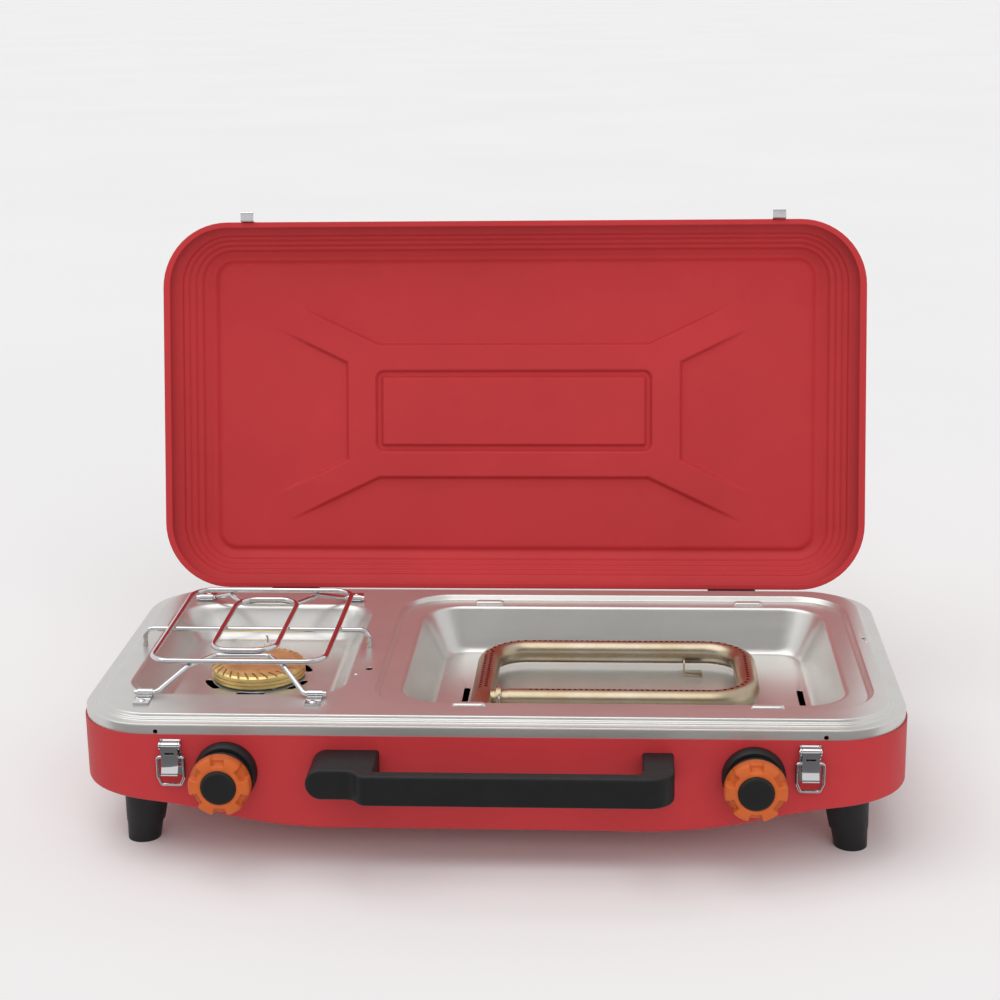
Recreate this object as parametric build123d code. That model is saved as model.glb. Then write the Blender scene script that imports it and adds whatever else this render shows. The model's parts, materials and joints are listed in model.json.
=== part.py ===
from build123d import *
from math import asin, cos, degrees, radians, sin, tan
import os

# Two-burner camping stove. Millimetres, +Z up. The origin is on the table under the middle of the casing,
# +X is the user's right and +Y is away from the user. The lid is drawn shut and then swung open.

# Casing
casing_width = 600.0
casing_depth = 314.0
casing_corner = 56.0
casing_sheet = 1.0
casing_edge = 4.0
casing_height = 71.5
foot_height = 30.0
end_lift = 22.0
lift_inset = 190.0
lift_level = 15.0

# Feet
foot_inset_x = 38.0
foot_inset_y = 50.0
foot_top_width = 37.0
foot_neck_width = 28.5
foot_toe_width = 27.0
foot_sole_width = 24.0
foot_neck_height = 15.0
foot_lean = 6.0
foot_bore = 9.0
foot_grip = 24.0
foot_screw = 4.0
foot_screw_head = 8.0
foot_nut = 7.0
foot_nut_thick = 3.2

# Deck
deck_sheet = 0.8
skirt_gap = 0.2
skirt_lap = 5.5
skirt_show = 7.5
skirt_edge = 2.2
land_width = 9.0
land_run = 2.5
deck_rise = 4.0

# Well of the loop burner
well_margin_left = 213.0
well_margin_right = 23.0
well_margin_front = 31.5
well_margin_rear = 26.5
well_corner = 40.0
well_step = 4.0
well_step_run = 3.0
well_ledge = 15.5
well_drop = 34.0
well_run = 18.0
well_floor_corner = 20.0
bump_out = 6.5
bump_length = 22.0
bump_width = 7.0
bump_rise = 1.2

# Bowl of the round burner
bowl_margin_left = 29.5
bowl_margin_front = 55.0
bowl_margin_rear = 53.0
bowl_width = 160.0
bowl_corner = 28.0
bowl_drop = 25.0
bowl_run = 17.0
bowl_floor_corner = 20.0
air_slot_radius = 39.5
air_slot_width = 6.0

# Lid
lid_seat = 0.3
lid_sheet = 1.0
lid_wall = 12.0
lid_angle = 102.0
hem_width = 6.0
hem_thick = 2.6
shoulder_run = 12.4
shoulder_rise = 4.0
terrace_count = 4
terrace_tread = 4.7
terrace_fall = 0.5
riser_run = 0.6
riser_rise = 3.0
last_run = 8.4
last_rise = 4.8
panel_step_run = 5.0
panel_step = 3.0
panel_corner = 13.0
end_share = 0.77
star_rise = 1.8
star_waist = casing_width * 0.4833
star_waist_height = casing_depth * 0.2675
star_tip_out = casing_width * 0.3583
star_tip_in = casing_width * 0.3117
star_tip_high = casing_depth * 0.2420
star_tip_top = casing_depth * 0.2898
star_bar = casing_width * 0.1950
star_bar_height = casing_depth * 0.3694
star_fade = casing_width * 0.1000
star_shift = 5.0
frame_width = casing_width * 0.3983
frame_height = casing_depth * 0.2229
frame_groove = 5.5
frame_deep = 1.0
frame_corner = 7.0

# Hinges
hinge_inset = 112.5
hinge_leaf = 40.0
hinge_plate = 1.2
hinge_barrel = 6.0
hinge_pin = 3.0
hinge_drop = 19.0
knuckle = 13.2

# Latches
latch_inset = 74.0
latch_width = 12.0
latch_plate = 1.2
latch_base_width = 15.0
latch_base_height = 27.0
latch_pin = 2.6
latch_barrel = 5.6
latch_pin_out = 4.4
latch_pin_height = 95.0
lever_length = 20.0
lever_ear = 4.6
bail_wire = 2.2
bail_width = 18.8
bail_length = 21.0
bail_pivot_drop = 8.6
catch_width = 11.0
catch_plate = 1.0

# Carry handle
handle_low = 69.0
handle_height = 22.5
handle_reach = 47.0
handle_bar = 10.0
handle_gap_left = 62.0
handle_gap_right = 56.0
handle_left_arm = 48.0
handle_right_arm = 22.0
handle_corner = 18.0
handle_step = 16.0
handle_edge = 2.0
handle_screw = 3.6
handle_screw_grip = 12.0

# Knobs and valves
knob_inset = 113.0
knob_z = 74.5
knob_push = 3.0
bezel_width = 45.0
bezel_lip = 42.0
bezel_out = 9.0
bezel_mouth = 36.0
bezel_back = 2.0
neck_width = 11.8
neck_hole = 12.2
nut_across = 17.0
nut_thick = 3.5
spindle_width = 6.0
spindle_play = 0.05
skirt_width = 40.0
skirt_back = 12.5
grip_back = 21.0
grip_front = 31.0
grip_width = 44.0
grip_flange = 2.5
grip_notch = 8.0
cap_width = 25.0
cap_front = 32.5
valve_width = 22.0
valve_front = 7.0
valve_length = 34.0

# Gas lines
manifold_back = 24.0
manifold_z = 55.0
manifold_pipe_width = 8.0
inlet_inset = 70.0
inlet_rise = 12.0
inlet_width = 13.2
inlet_nut_thick = 3.6
inlet_stub = 12.0
inlet_socket = 20.0
feed_pipe_width = 5.0

# Round burner
cup_radius = 29.0
cup_flange_radius = 33.5
cup_low = 60.0
cup_wall = 3.0
cup_neck = 3.0
cap_radius = 36.5
cap_height = 12.0
cap_slots = 30
mixer_width = 16.0
mixer_wall = 1.2
bell_width = 23.0

# Loop burner
loop_tube = 18.0
loop_wall = 1.0
loop_gap_left = 39.5
loop_gap_right = 49.5
loop_gap_front = 40.5
loop_gap_rear = 32.5
loop_lift = 13.0
loop_mouth = 31.0

# Trivet
wire = 4.0
weld_gap = 0.05
outer_loop_width = 131.0
outer_loop_inset = 18.0
inner_loop_width = 49.0
inner_loop_inset = 42.0
loop_corner = 16.0
clip_spread_x = 125.0
clip_outset = 8.0
clip_width = 11.0
clip_strip = 0.8
clip_tail = 18.0
leg_rise = 11.0
bar_width = 177.0

# Derived levels and faces
casing_floor = foot_height
casing_top = casing_floor + casing_height
half_width = casing_width / 2
lift_start = half_width - lift_inset
lift_stop = half_width - lift_level
lift_radius = ((lift_stop - lift_start) ** 2 / 4 + end_lift ** 2 / 4) / end_lift
lift_turn = asin((lift_stop - lift_start) / 2 / lift_radius)
front = -casing_depth / 2
rear = casing_depth / 2
inside_front = front + casing_sheet
land = casing_top + skirt_show
deck_top = land + deck_rise
ledge = deck_top - well_step
well_floor = ledge - well_drop
bowl_floor = deck_top - bowl_drop
lid_low = land + lid_seat
hinge_y = rear + hinge_barrel / 2
hinge_z = (casing_top + lid_low) / 2
loop_z = well_floor + loop_lift
hinge_x = half_width - hinge_inset
latch_x = half_width - latch_inset
knob_x = half_width - knob_inset
manifold_y = front + manifold_back
inlet_x = half_width - inlet_inset
inlet_z = manifold_z + inlet_rise
loop_inlet = front + loop_mouth
handle_left = handle_gap_left - knob_x
handle_left_inner = handle_left + handle_left_arm
handle_right = knob_x - handle_gap_right
handle_right_inner = handle_right - handle_right_arm

# Derived hollows, loop burner and trivet
well_width = casing_width - well_margin_left - well_margin_right
well_depth = casing_depth - well_margin_front - well_margin_rear
well_x = (well_margin_left - well_margin_right) / 2
well_y = (well_margin_front - well_margin_rear) / 2
bowl_depth = casing_depth - bowl_margin_front - bowl_margin_rear
bowl_x = bowl_margin_left + bowl_width / 2 - half_width
bowl_y = (bowl_margin_front - bowl_margin_rear) / 2
well_inset = well_step_run + well_ledge + well_run
loop_left = well_x - well_width / 2 + well_inset + loop_gap_left
loop_right = well_x + well_width / 2 - well_inset - loop_gap_right
loop_front = well_y - well_depth / 2 + well_inset + loop_gap_front
loop_rear = well_y + well_depth / 2 - well_inset - loop_gap_rear
loop_bend = 0.28 * (loop_rear - loop_front)
trivet_x = bowl_x - 0.5
outer_loop_depth = bowl_depth - 2 * outer_loop_inset
inner_loop_depth = bowl_depth - 2 * inner_loop_inset
clip_spread_y = bowl_depth + 2 * clip_outset
bar_y = bowl_y - 2
swing_open = Pos(0, hinge_y, hinge_z) * Rot(-lid_angle, 0, 0) * Pos(0, -hinge_y, -hinge_z)


# Shared shapes

def rounded(width, depth, corner, height, x=0.0, y=0.0):
    """A rounded rectangle lying flat."""
    return Pos(x, y, height) * RectangleRounded(width, depth, corner)


def slab(width, depth, corner, low, high, x=0.0, y=0.0):
    """An upright prism on a rounded rectangle."""
    return extrude(rounded(width, depth, corner, low, x, y), amount=high - low)


def block(low, high):
    """A box between two corners."""
    size = [b - a for a, b in zip(low, high)]
    middle = [(a + b) / 2 for a, b in zip(low, high)]
    return Pos(*middle) * Box(*size)


def rod(start, end, width):
    """A round bar from one point to another."""
    run = Vector(*end) - Vector(*start)
    return extrude(Plane(origin=start, z_dir=run) * Circle(width / 2), amount=run.length)


def bent_rod(points, bend, width, closed=False):
    """A round bar along straight runs with bends between them."""
    path = FilletPolyline(*points, radius=bend, close=closed)
    section = Plane(origin=path @ 0, z_dir=path % 0) * Circle(width / 2)
    return sweep(section, path=path)


def turned(points):
    """A turned piece round the Z axis from points of radius and height."""
    return revolve(Plane.XZ * make_face(Polyline(*points, close=True)), Axis.Z)


def to_front(x, z):
    """Places a piece turned round Z on the front wall, with its height pointing at the user."""
    return Pos(x, front, z) * Rot(90, 0, 0)


def outline(points, plane=Plane.XY):
    """A flat face on straight sides."""
    return plane * make_face(Polyline(*points, close=True))


def rivet(point, outward, grip, shank=3.0):
    """A rivet with its head at a point and its tail behind the grip."""
    profile = [(0, 1.3), (shank * 0.55, 1.1), (shank * 0.95, 0), (shank / 2, 0), (shank / 2, -grip)]
    profile += [(shank * 0.8, -grip), (shank * 0.7, -grip - 1.0), (0, -grip - 1.0)]
    return Plane(origin=point, z_dir=outward) * turned(profile)


def rivet_hole(point, outward, shank=3.0):
    """The round hole of a rivet, long enough for the plates it joins."""
    away = Vector(*outward).normalized() * 6
    start = Vector(*point) - away
    end = Vector(*point) + away
    return rod(tuple(start), tuple(end), shank)


def screw(point, outward, length, shank, head, head_thick):
    """A pan-head screw with its head seated at a point."""
    profile = [(0, head_thick), (head * 0.38, head_thick), (head / 2, head_thick * 0.45), (head / 2, 0)]
    profile += [(shank / 2, 0), (shank / 2, -length), (0, -length)]
    return Plane(origin=point, z_dir=outward) * turned(profile)


def hexagon_nut(across, bore, thick):
    """A nut standing on the XY plane."""
    sides = extrude(RegularPolygon(across / 2, 6, major_radius=False), amount=thick)
    return sides - Cylinder(bore / 2, 4 * thick)


def group(pieces):
    """Several separate solids written as one node."""
    return Compound([solid for piece in pieces for solid in piece.solids()])


# Fastening points that two pieces share

def foot_places():
    """The middle of each foot's top, with the side it leans to."""
    half_x = half_width - foot_inset_x
    half_y = rear - foot_inset_y
    return [(sx * half_x, sy * half_y, sx) for sx in (-1, 1) for sy in (-1, 1)]


def deck_screw_places():
    """Screws through the side walls into the skirt."""
    level = casing_top - skirt_lap / 2
    return [(sx * half_width, sy * casing_depth * 0.22, level, sx) for sx in (-1, 1) for sy in (-1, 1)]


def handle_screw_places():
    """Screws from inside the front wall into the handle's arms."""
    level = handle_low + handle_height / 2
    left_middle = (handle_left + handle_left_inner) / 2
    right_middle = (handle_right_inner + handle_right) / 2
    return [(left_middle - 9, level), (left_middle + 9, level), (right_middle, level)]


def latch_rivet_places(side):
    """Rivets of a latch base, under the lever."""
    bottom = latch_base_bottom()
    return [(side * latch_x, front - latch_plate, bottom + 5)]


def hinge_rivet_places(side):
    """Rivets of a body leaf on the rear wall."""
    level = hinge_z - hinge_drop + 5
    return [(side * hinge_x + dx, rear + hinge_plate, level) for dx in (-hinge_leaf / 3, hinge_leaf / 3)]


def lid_rivet_places(side):
    """Rivets of a lid leaf, with the lid shut."""
    level = lid_low + lid_wall / 2 + 1
    return [(side * hinge_x + dx, rear + hinge_plate, level) for dx in (-hinge_leaf / 3, hinge_leaf / 3)]


def catch_rivet_place(side):
    """Rivet of a catch, with the lid shut."""
    return (side * latch_x, front - catch_plate, lid_low + lid_wall / 2 + 1)


def clip_places():
    """Middle of each P-clip on the wire's axis, with the side its tail points to."""
    half_x = clip_spread_x / 2
    half_y = clip_spread_y / 2
    return [(trivet_x + sx * half_x, sy * half_y, sy) for sx in (-1, 1) for sy in (-1, 1)]


def clip_rivet_places():
    """Rivets through the P-clips' tails."""
    reach = clip_tail * 0.72
    level = deck_top + 2 * clip_strip
    return [(x, y + sy * reach, level) for x, y, sy in clip_places()]


def cup_screw_places():
    """Screws through the bowl's floor into the cup's flange."""
    radius = (cup_radius + cup_flange_radius) / 2
    angles = (60, 180, 300)
    return [(bowl_x + radius * cos(radians(a)), radius * sin(radians(a)), bowl_floor) for a in angles]


def latch_base_bottom():
    """Lower end of a latch base."""
    return latch_pin_height + latch_barrel / 2 + 1 - latch_base_height


# Casing and feet

def above_underside(sheet):
    """The space above the casing's underside, which is level in the middle and lifts towards both ends."""
    low = casing_floor + sheet
    high = casing_floor + end_lift + sheet
    hollow_z = casing_floor + lift_radius
    crown_z = casing_floor + end_lift - lift_radius
    hollow = lift_radius - sheet
    crown = lift_radius + sheet
    turn = degrees(lift_turn)
    reach = half_width + 20
    top = casing_top + 40
    sides = Line((-lift_start, low), (lift_start, low))
    sides += CenterArc((lift_start, hollow_z), hollow, -90, turn)
    sides += CenterArc((lift_stop, crown_z), crown, 90 + turn, -turn)
    right_end = [(lift_stop, high), (reach, high), (reach, top)]
    left_end = [(-reach, top), (-reach, high), (-lift_stop, high)]
    sides += Polyline(*right_end, *left_end)
    sides += CenterArc((-lift_stop, crown_z), crown, 90, -turn)
    sides += CenterArc((-lift_start, hollow_z), hollow, -90 - turn, turn)
    return extrude(Plane.XZ * make_face(sides), amount=casing_depth, both=True)


def is_lower_edge(edge):
    """True for an edge where the walls meet the underside, not for one across it."""
    middle = edge @ 0.5
    across = abs((edge % 0.5).Y) > 0.99 and abs(middle.X) < half_width - 2 * casing_sheet
    return middle.Z < casing_floor + end_lift + 2 * casing_sheet and not across


def casing_form(sheet, top):
    """The outside of the tray, or with the thickness of its sheet the hollow in it."""
    width = casing_width - 2 * sheet
    depth = casing_depth - 2 * sheet
    form = slab(width, depth, casing_corner - sheet, casing_floor - 1, top) & above_underside(sheet)
    return fillet(form.edges().filter_by(is_lower_edge), casing_edge - sheet)


def casing_tray():
    tray = casing_form(0, casing_top) - casing_form(casing_sheet, casing_top + 1)
    for place, outward in foot_screw_places():
        tray -= screw_hole(place, outward, foot_screw + 0.2)
    for x, y, z, side in deck_screw_places():
        tray -= rod((x - side * 4, y, z), (x + side * 4, y, z), 3.0)
    for x, z in handle_screw_places():
        tray -= rod((x, front - 2, z), (x, front + 4, z), handle_screw + 0.4)
    for side in (-1, 1):
        tray -= rod((side * knob_x, front - 2, knob_z), (side * knob_x, front + 4, knob_z), neck_hole)
        for place in latch_rivet_places(side):
            tray -= rivet_hole(place, (0, -1, 0))
        for place in hinge_rivet_places(side):
            tray -= rivet_hole(place, (0, 1, 0))
    tray -= rod((inlet_x, rear - 4, inlet_z), (inlet_x, rear + 2, inlet_z), inlet_width)
    vent = extrude(SlotOverall(60, 6), amount=end_lift + 4, both=True)
    for x in (bowl_x, well_x):
        for row in range(5):
            tray -= Pos(x, (row - 2) * 16, casing_floor) * vent
    return tray


def underside(x):
    """Height of the casing's underside, and how far it is turned from level."""
    past = abs(x) - lift_start
    left = lift_stop - abs(x)
    if past <= 0:
        return casing_floor, 0
    if left <= 0:
        return casing_floor + end_lift, 0
    slope = asin(min(past, left) / lift_radius)
    rise = lift_radius * (1 - cos(slope))
    return (casing_floor + rise if past < left else casing_floor + end_lift - rise), slope


def foot_screw_places():
    """Where each foot's screw goes through the underside, with the way it points down and out."""
    places = []
    for x, y, side in foot_places():
        centre = x - side * foot_lean
        level, slope = underside(centre)
        outward = (side * sin(slope), 0, -cos(slope))
        places.append(((centre, y, level), outward))
    return places


def along(place, outward, distance):
    """A point a distance out from a place."""
    return tuple(a + distance * b for a, b in zip(place, outward))


def screw_hole(place, outward, width):
    return rod(along(place, outward, -4), along(place, outward, 4), width)


def foot(x, y, side, place, outward):
    """A stepped black foot that leans out towards the bottom and fits the lifted underside."""
    centre = x - side * foot_lean
    neck = centre + side * (foot_top_width - foot_neck_width) / 2
    toe = neck + side * (foot_neck_width - foot_toe_width) / 4
    sole = toe + side * (foot_toe_width - foot_sole_width) / 2
    top = casing_floor + end_lift + 4
    upper_low = Pos(neck, y, foot_neck_height) * Circle(foot_neck_width / 2)
    upper_high = Pos(centre, y, top) * Circle(foot_top_width / 2)
    lower_low = Pos(sole, y, 0) * Circle(foot_sole_width / 2)
    lower_high = Pos(toe, y, foot_neck_height) * Circle(foot_toe_width / 2)
    shape = loft([upper_low, upper_high]) + loft([lower_low, lower_high]) - above_underside(0)
    seat = along(place, outward, foot_grip)
    shape -= rod(seat, along(seat, outward, 60), foot_bore)
    return shape - rod(along(seat, outward, -foot_grip - 2), along(seat, outward, 1), foot_screw + 0.2)


def feet():
    pairs = zip(foot_places(), foot_screw_places())
    return group([foot(x, y, side, place, outward) for (x, y, side), (place, outward) in pairs])


def foot_screws():
    length = foot_grip + casing_sheet + 2 * foot_nut_thick
    head_thick = 0.65 * foot_screw
    return group([
        screw(along(place, outward, foot_grip), outward, length, foot_screw, foot_screw_head, head_thick)
        for place, outward in foot_screw_places()
    ])


def foot_nuts():
    nuts = []
    for place, outward in foot_screw_places():
        inside = along(place, outward, -casing_sheet)
        inward = tuple(-a for a in outward)
        nuts.append(Plane(origin=inside, z_dir=inward) * hexagon_nut(foot_nut, foot_screw, foot_nut_thick))
    return group(nuts)


# Deck

def pocket(x, y, sections):
    """A pressed hollow from width, depth, corner and height of each level."""
    levels = [rounded(width, depth, corner, height, x, y) for width, depth, corner, height in sections]
    return loft(levels, ruled=True)


def well_hollow(grow, sink):
    """The well's hollow, or with growth the outside of its sheet."""
    step_width = well_width - 2 * well_step_run
    step_depth = well_depth - 2 * well_step_run
    mouth_width = step_width - 2 * well_ledge
    mouth_depth = step_depth - 2 * well_ledge
    floor_width = mouth_width - 2 * well_run
    floor_depth = mouth_depth - 2 * well_run
    two = 2 * grow
    shelf = pocket(well_x, well_y, [
        (well_width + two, well_depth + two, well_corner + grow, deck_top),
        (step_width + two, step_depth + two, well_corner - well_step_run + grow, ledge - sink),
    ])
    pit = pocket(well_x, well_y, [
        (mouth_width + two, mouth_depth + two, well_corner - 8 + grow, ledge - sink),
        (floor_width + two, floor_depth + two, well_floor_corner + grow, well_floor - sink),
    ])
    return shelf + pit


def bowl_hollow(grow, sink):
    """The bowl's hollow, or with growth the outside of its sheet."""
    two = 2 * grow
    floor_width = bowl_width - 2 * bowl_run
    floor_depth = bowl_depth - 2 * bowl_run
    return pocket(bowl_x, bowl_y, [
        (bowl_width + two, bowl_depth + two, bowl_corner + grow, deck_top),
        (floor_width + two, floor_depth + two, bowl_floor_corner + grow, bowl_floor - sink),
    ])


def deck_form(inset, sink):
    """The skirt, the land round the lid's rim and the raised field, as a solid."""
    in_all = casing_sheet + skirt_gap + inset
    width = casing_width - 2 * in_all
    depth = casing_depth - 2 * in_all
    corner = casing_corner - in_all
    low = casing_top - skirt_lap - sink
    skirt = slab(width, depth, corner, low, land - sink)
    skirt = fillet(skirt.faces().sort_by(Axis.Z)[-1].edges(), skirt_edge - inset)
    first = 2 * land_width
    last = 2 * (land_width + land_run)
    field = loft([
        rounded(width - first, depth - first, corner - land_width, land - sink),
        rounded(width - last, depth - last, corner - land_width - land_run, deck_top - sink),
    ], ruled=True)
    return skirt + field


def ledge_bumps(level):
    """Oblong pressings on the well's ledge, which a pan slides on."""
    ledge_out = well_depth / 2 - well_step_run - well_ledge / 2
    pressing = extrude(SlotOverall(bump_length, bump_width), amount=bump_rise, taper=35)
    columns = (loop_left + bump_out - bump_length / 2, loop_right - bump_out + bump_length * 2 / 3)
    return [Pos(x, well_y + side * ledge_out, level) * pressing for x in columns for side in (-1, 1)]


def deck_plate():
    deck = deck_form(0, 0) - deck_form(deck_sheet, deck_sheet)
    deck += well_hollow(deck_sheet, deck_sheet)
    deck += bowl_hollow(deck_sheet, deck_sheet)
    deck -= well_hollow(0, 0)
    deck -= bowl_hollow(0, 0)
    deck += ledge_bumps(ledge)
    deck -= ledge_bumps(ledge - deck_sheet)
    deck -= rod((bowl_x, 0, bowl_floor - 3), (bowl_x, 0, bowl_floor + 3), 2 * (cup_radius - 0.4))
    for start in (198, 258, 318, 18, 138):
        arc = SlotArc(CenterArc((0, 0), air_slot_radius, start, 24), air_slot_width)
        deck -= Pos(bowl_x, 0, bowl_floor) * extrude(arc, amount=3, both=True)
    for x, y, z in cup_screw_places():
        deck -= rod((x, y, z - 3), (x, y, z + 3), 3.0)
    deck -= rod((loop_left, loop_inlet, loop_z), (loop_left, loop_front, loop_z), loop_tube + 0.3)
    for x, y, z in (left_electrode_place(), right_electrode_place()):
        deck -= rod((x, y, z - 30), (x, y, z), 6.2)
    for x, y, z in clip_rivet_places():
        deck -= rod((x, y, deck_top - 3), (x, y, deck_top + 3), 3.0)
    for x, y, z, side in deck_screw_places():
        deck -= rod((x - side * 5, y, z), (x + side * 4, y, z), 3.0)
    for side in (-1, 1):
        hole_x = side * (latch_x + 11)
        deck -= rod((hole_x, front - 1, land - 5.5), (hole_x, front + 6, land - 5.5), 3.4)
    for slot_x in (loop_left - 16, loop_right + 42):
        slot = Pos(slot_x, well_y - 10, well_floor) * SlotOverall(38, 5, rotation=90)
        deck -= extrude(slot, amount=3, both=True)
    deck -= rod((trivet_x + 94.5, -50, deck_top - 3), (trivet_x + 94.5, -50, deck_top + 3), 4.0)
    return deck


def deck_screws():
    places = deck_screw_places()
    return group([screw((x, y, z), (side, 0, 0), 5.0, 3.0, 6.0, 1.8) for x, y, z, side in places])


# Lid, drawn shut

def lid_levels():
    """Inset and height of each bend of the lid's inner face, from the wall to the panel."""
    levels = [(lid_sheet, hem_thick), (lid_sheet, lid_wall - 0.5)]
    inset = lid_sheet + shoulder_run
    height = lid_wall + shoulder_rise
    levels.append((inset, height))
    for terrace in range(terrace_count):
        inset += riser_run
        height += riser_rise
        levels.append((inset, height))
        if terrace < terrace_count - 1:
            inset += terrace_tread
            height += terrace_fall
            levels.append((inset, height))
    levels.append((inset + last_run, height + last_rise))
    return levels


def lid_section(inset, height):
    """The lid's outline at an inset, drawn in less at front and rear than at the ends."""
    inset_y = inset if inset <= lid_sheet else lid_sheet + (inset - lid_sheet) * end_share
    corner = max(casing_corner - inset, panel_corner)
    return rounded(casing_width - 2 * inset, casing_depth - 2 * inset_y, corner, lid_low + height)


def lid_panel_level():
    """Height of the panel's inner face above the rim."""
    return lid_levels()[-1][1] - panel_step


def star(low, high):
    """The star-shaped pressing, which fades out towards its four tips."""
    waist = star_waist / 2
    waist_half = star_waist_height / 2
    bar = star_bar
    bar_half = star_bar_height / 2
    points = []
    corner = [(bar, bar_half), (star_tip_in, star_tip_top)]
    corner += [(star_tip_out, star_tip_high), (waist, waist_half)]
    points += corner
    points += [(x, -y) for x, y in reversed(corner)]
    points += [(-x, -y) for x, y in corner]
    points += [(-x, y) for x, y in reversed(corner)]
    body = extrude(Pos(0, 0, lid_low + high) * outline(points), amount=high - low, dir=(0, 0, -1), taper=30)
    top = lid_low + high
    bottom = lid_low + low
    full = star_tip_out - star_fade
    ends = star_tip_out + 14
    roof = outline([(-ends, top), (-full, bottom), (full, bottom), (ends, top)], Plane.XZ)
    return Pos(0, star_shift, 0) * (body & extrude(roof, amount=casing_depth, both=True))


def frame_ring(grow, low, high):
    """The groove round the middle field, or with growth the back of it."""
    outer = slab(frame_width + 2 * grow, frame_height + 2 * grow, frame_corner, lid_low + low, lid_low + high)
    less = 2 * (frame_groove + grow)
    inner = slab(frame_width - less, frame_height - less, frame_corner / 2, lid_low + low, lid_low + high)
    return Pos(0, star_shift, 0) * (outer - inner)


def lid_shell():
    levels = lid_levels()
    inside = loft([lid_section(inset, height) for inset, height in levels], ruled=True)
    skin = [(max(inset - lid_sheet, 0), height + lid_sheet) for inset, height in levels[1:]]
    outside = loft([lid_section(inset, height) for inset, height in [(0, 0)] + skin], ruled=True)
    mouth = loft([lid_section(hem_width, -1), lid_section(hem_width, hem_thick)], ruled=True)
    shell = outside - inside - mouth
    edge, deepest = levels[-1]
    panel = lid_panel_level()
    island = loft([lid_section(edge, deepest + 0.2), lid_section(edge + panel_step_run, panel)], ruled=True)
    dish = loft([
        lid_section(edge - lid_sheet * 0.4, deepest + lid_sheet + 0.2),
        lid_section(edge + panel_step_run - lid_sheet * 0.4, panel + lid_sheet),
    ], ruled=True)
    shell = shell + island - dish
    shell += star(panel - star_rise, panel)
    shell -= star(panel + lid_sheet - star_rise, panel + lid_sheet)
    face = panel - star_rise
    shell += frame_ring(0.8, face + lid_sheet, face + lid_sheet + frame_deep)
    shell -= frame_ring(0, face - 1, face + frame_deep)
    for side in (-1, 1):
        for place in lid_rivet_places(side):
            shell -= rivet_hole(place, (0, 1, 0))
        shell -= rivet_hole(catch_rivet_place(side), (0, -1, 0))
        slot_y = rear - hem_width * 0.45
        shell -= block(
            (side * hinge_x - hinge_leaf / 2, slot_y - 1.2, lid_low - 1),
            (side * hinge_x + hinge_leaf / 2, slot_y + 1.2, lid_low + hem_thick + 1),
        )
    return swing_open * shell


def lid_catch(side):
    """A hooked plate on the lid's front wall."""
    wall = front
    out = front - catch_plate
    trough = catch_trough()
    lip = front - latch_pin_out - bail_wire / 2 - 2.2
    top = lid_low + lid_wall - 1
    low = trough - catch_plate
    points = [(wall, top), (wall, low), (lip - catch_plate, low), (lip - catch_plate, trough + 4.0)]
    points += [(lip, trough + 4.0), (lip, trough), (out, trough), (out, top)]
    hook = extrude(outline(points, Plane.YZ), amount=catch_width / 2, both=True)
    bends = hook.edges().filter_by(Axis.X).filter_by(lambda e: e.center().Z < trough + 0.5)
    outer_bends = bends.filter_by(lambda e: abs(e.center().Z - low) < 0.01)
    hook = fillet(outer_bends, catch_plate * 1.6)
    hook = Pos(side * latch_x, 0, 0) * hook
    return swing_open * (hook - rivet_hole(catch_rivet_place(side), (0, -1, 0)))


def catch_trough():
    """Height of the catch's trough with the lid shut, just under the raised bail's bar."""
    return latch_pin_height - bail_pivot_drop + bail_length - bail_wire / 2 - 0.2


# Hinges

def knuckle_span(position):
    """Start and end along X of the left, middle or right knuckle."""
    half = hinge_leaf / 2
    gap = (hinge_leaf - 3 * knuckle) / 2
    start = -half + position * (knuckle + gap)
    return start, start + knuckle


def hinge_part(side, positions, plate_low, plate_high, tab_low, tab_high):
    """A leaf flat on the rear walls with knuckles round the pin."""
    x = side * hinge_x
    half = hinge_leaf / 2
    plate = block((x - half, rear, plate_low), (x + half, rear + hinge_plate, plate_high))
    for position in positions:
        start, end = knuckle_span(position)
        plate += block((x + start, rear, tab_low), (x + end, rear + hinge_plate, tab_high))
        plate += rod((x + start, hinge_y, hinge_z), (x + end, hinge_y, hinge_z), hinge_barrel)
    return plate


def hinge_base(side):
    clear = hinge_barrel / 2 + 0.4
    leaf = hinge_part(side, (0, 2), hinge_z - hinge_drop, hinge_z - clear, hinge_z - clear, hinge_z)
    x = side * hinge_x
    leaf -= rod((x - hinge_leaf, hinge_y, hinge_z), (x + hinge_leaf, hinge_y, hinge_z), hinge_pin)
    for place in hinge_rivet_places(side):
        leaf -= rivet_hole(place, (0, 1, 0))
    return leaf


def hinge_lid_leaf(side):
    clear = hinge_barrel / 2 + 0.4
    top = lid_low + lid_wall - 1
    leaf = hinge_part(side, (1,), hinge_z + clear, top, hinge_z, hinge_z + clear)
    x = side * hinge_x
    bore = hinge_pin + 2 * spindle_play
    leaf -= rod((x - hinge_leaf, hinge_y, hinge_z), (x + hinge_leaf, hinge_y, hinge_z), bore)
    for place in lid_rivet_places(side):
        leaf -= rivet_hole(place, (0, 1, 0))
    return swing_open * leaf


def hinge_pins():
    half = hinge_leaf / 2
    pins = []
    for side in (-1, 1):
        x = side * hinge_x
        pins.append(rod((x - half, hinge_y, hinge_z), (x + half, hinge_y, hinge_z), hinge_pin))
    return group(pins)


def hinge_rivets():
    grip = hinge_plate + casing_sheet
    return group([rivet(place, (0, 1, 0), grip) for side in (-1, 1) for place in hinge_rivet_places(side)])


def lid_rivets():
    grip = hinge_plate + lid_sheet
    pieces = [rivet(place, (0, 1, 0), grip) for side in (-1, 1) for place in lid_rivet_places(side)]
    pieces += [rivet(catch_rivet_place(side), (0, -1, 0), catch_plate + lid_sheet) for side in (-1, 1)]
    return group([swing_open * piece for piece in pieces])


# Latches

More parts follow.
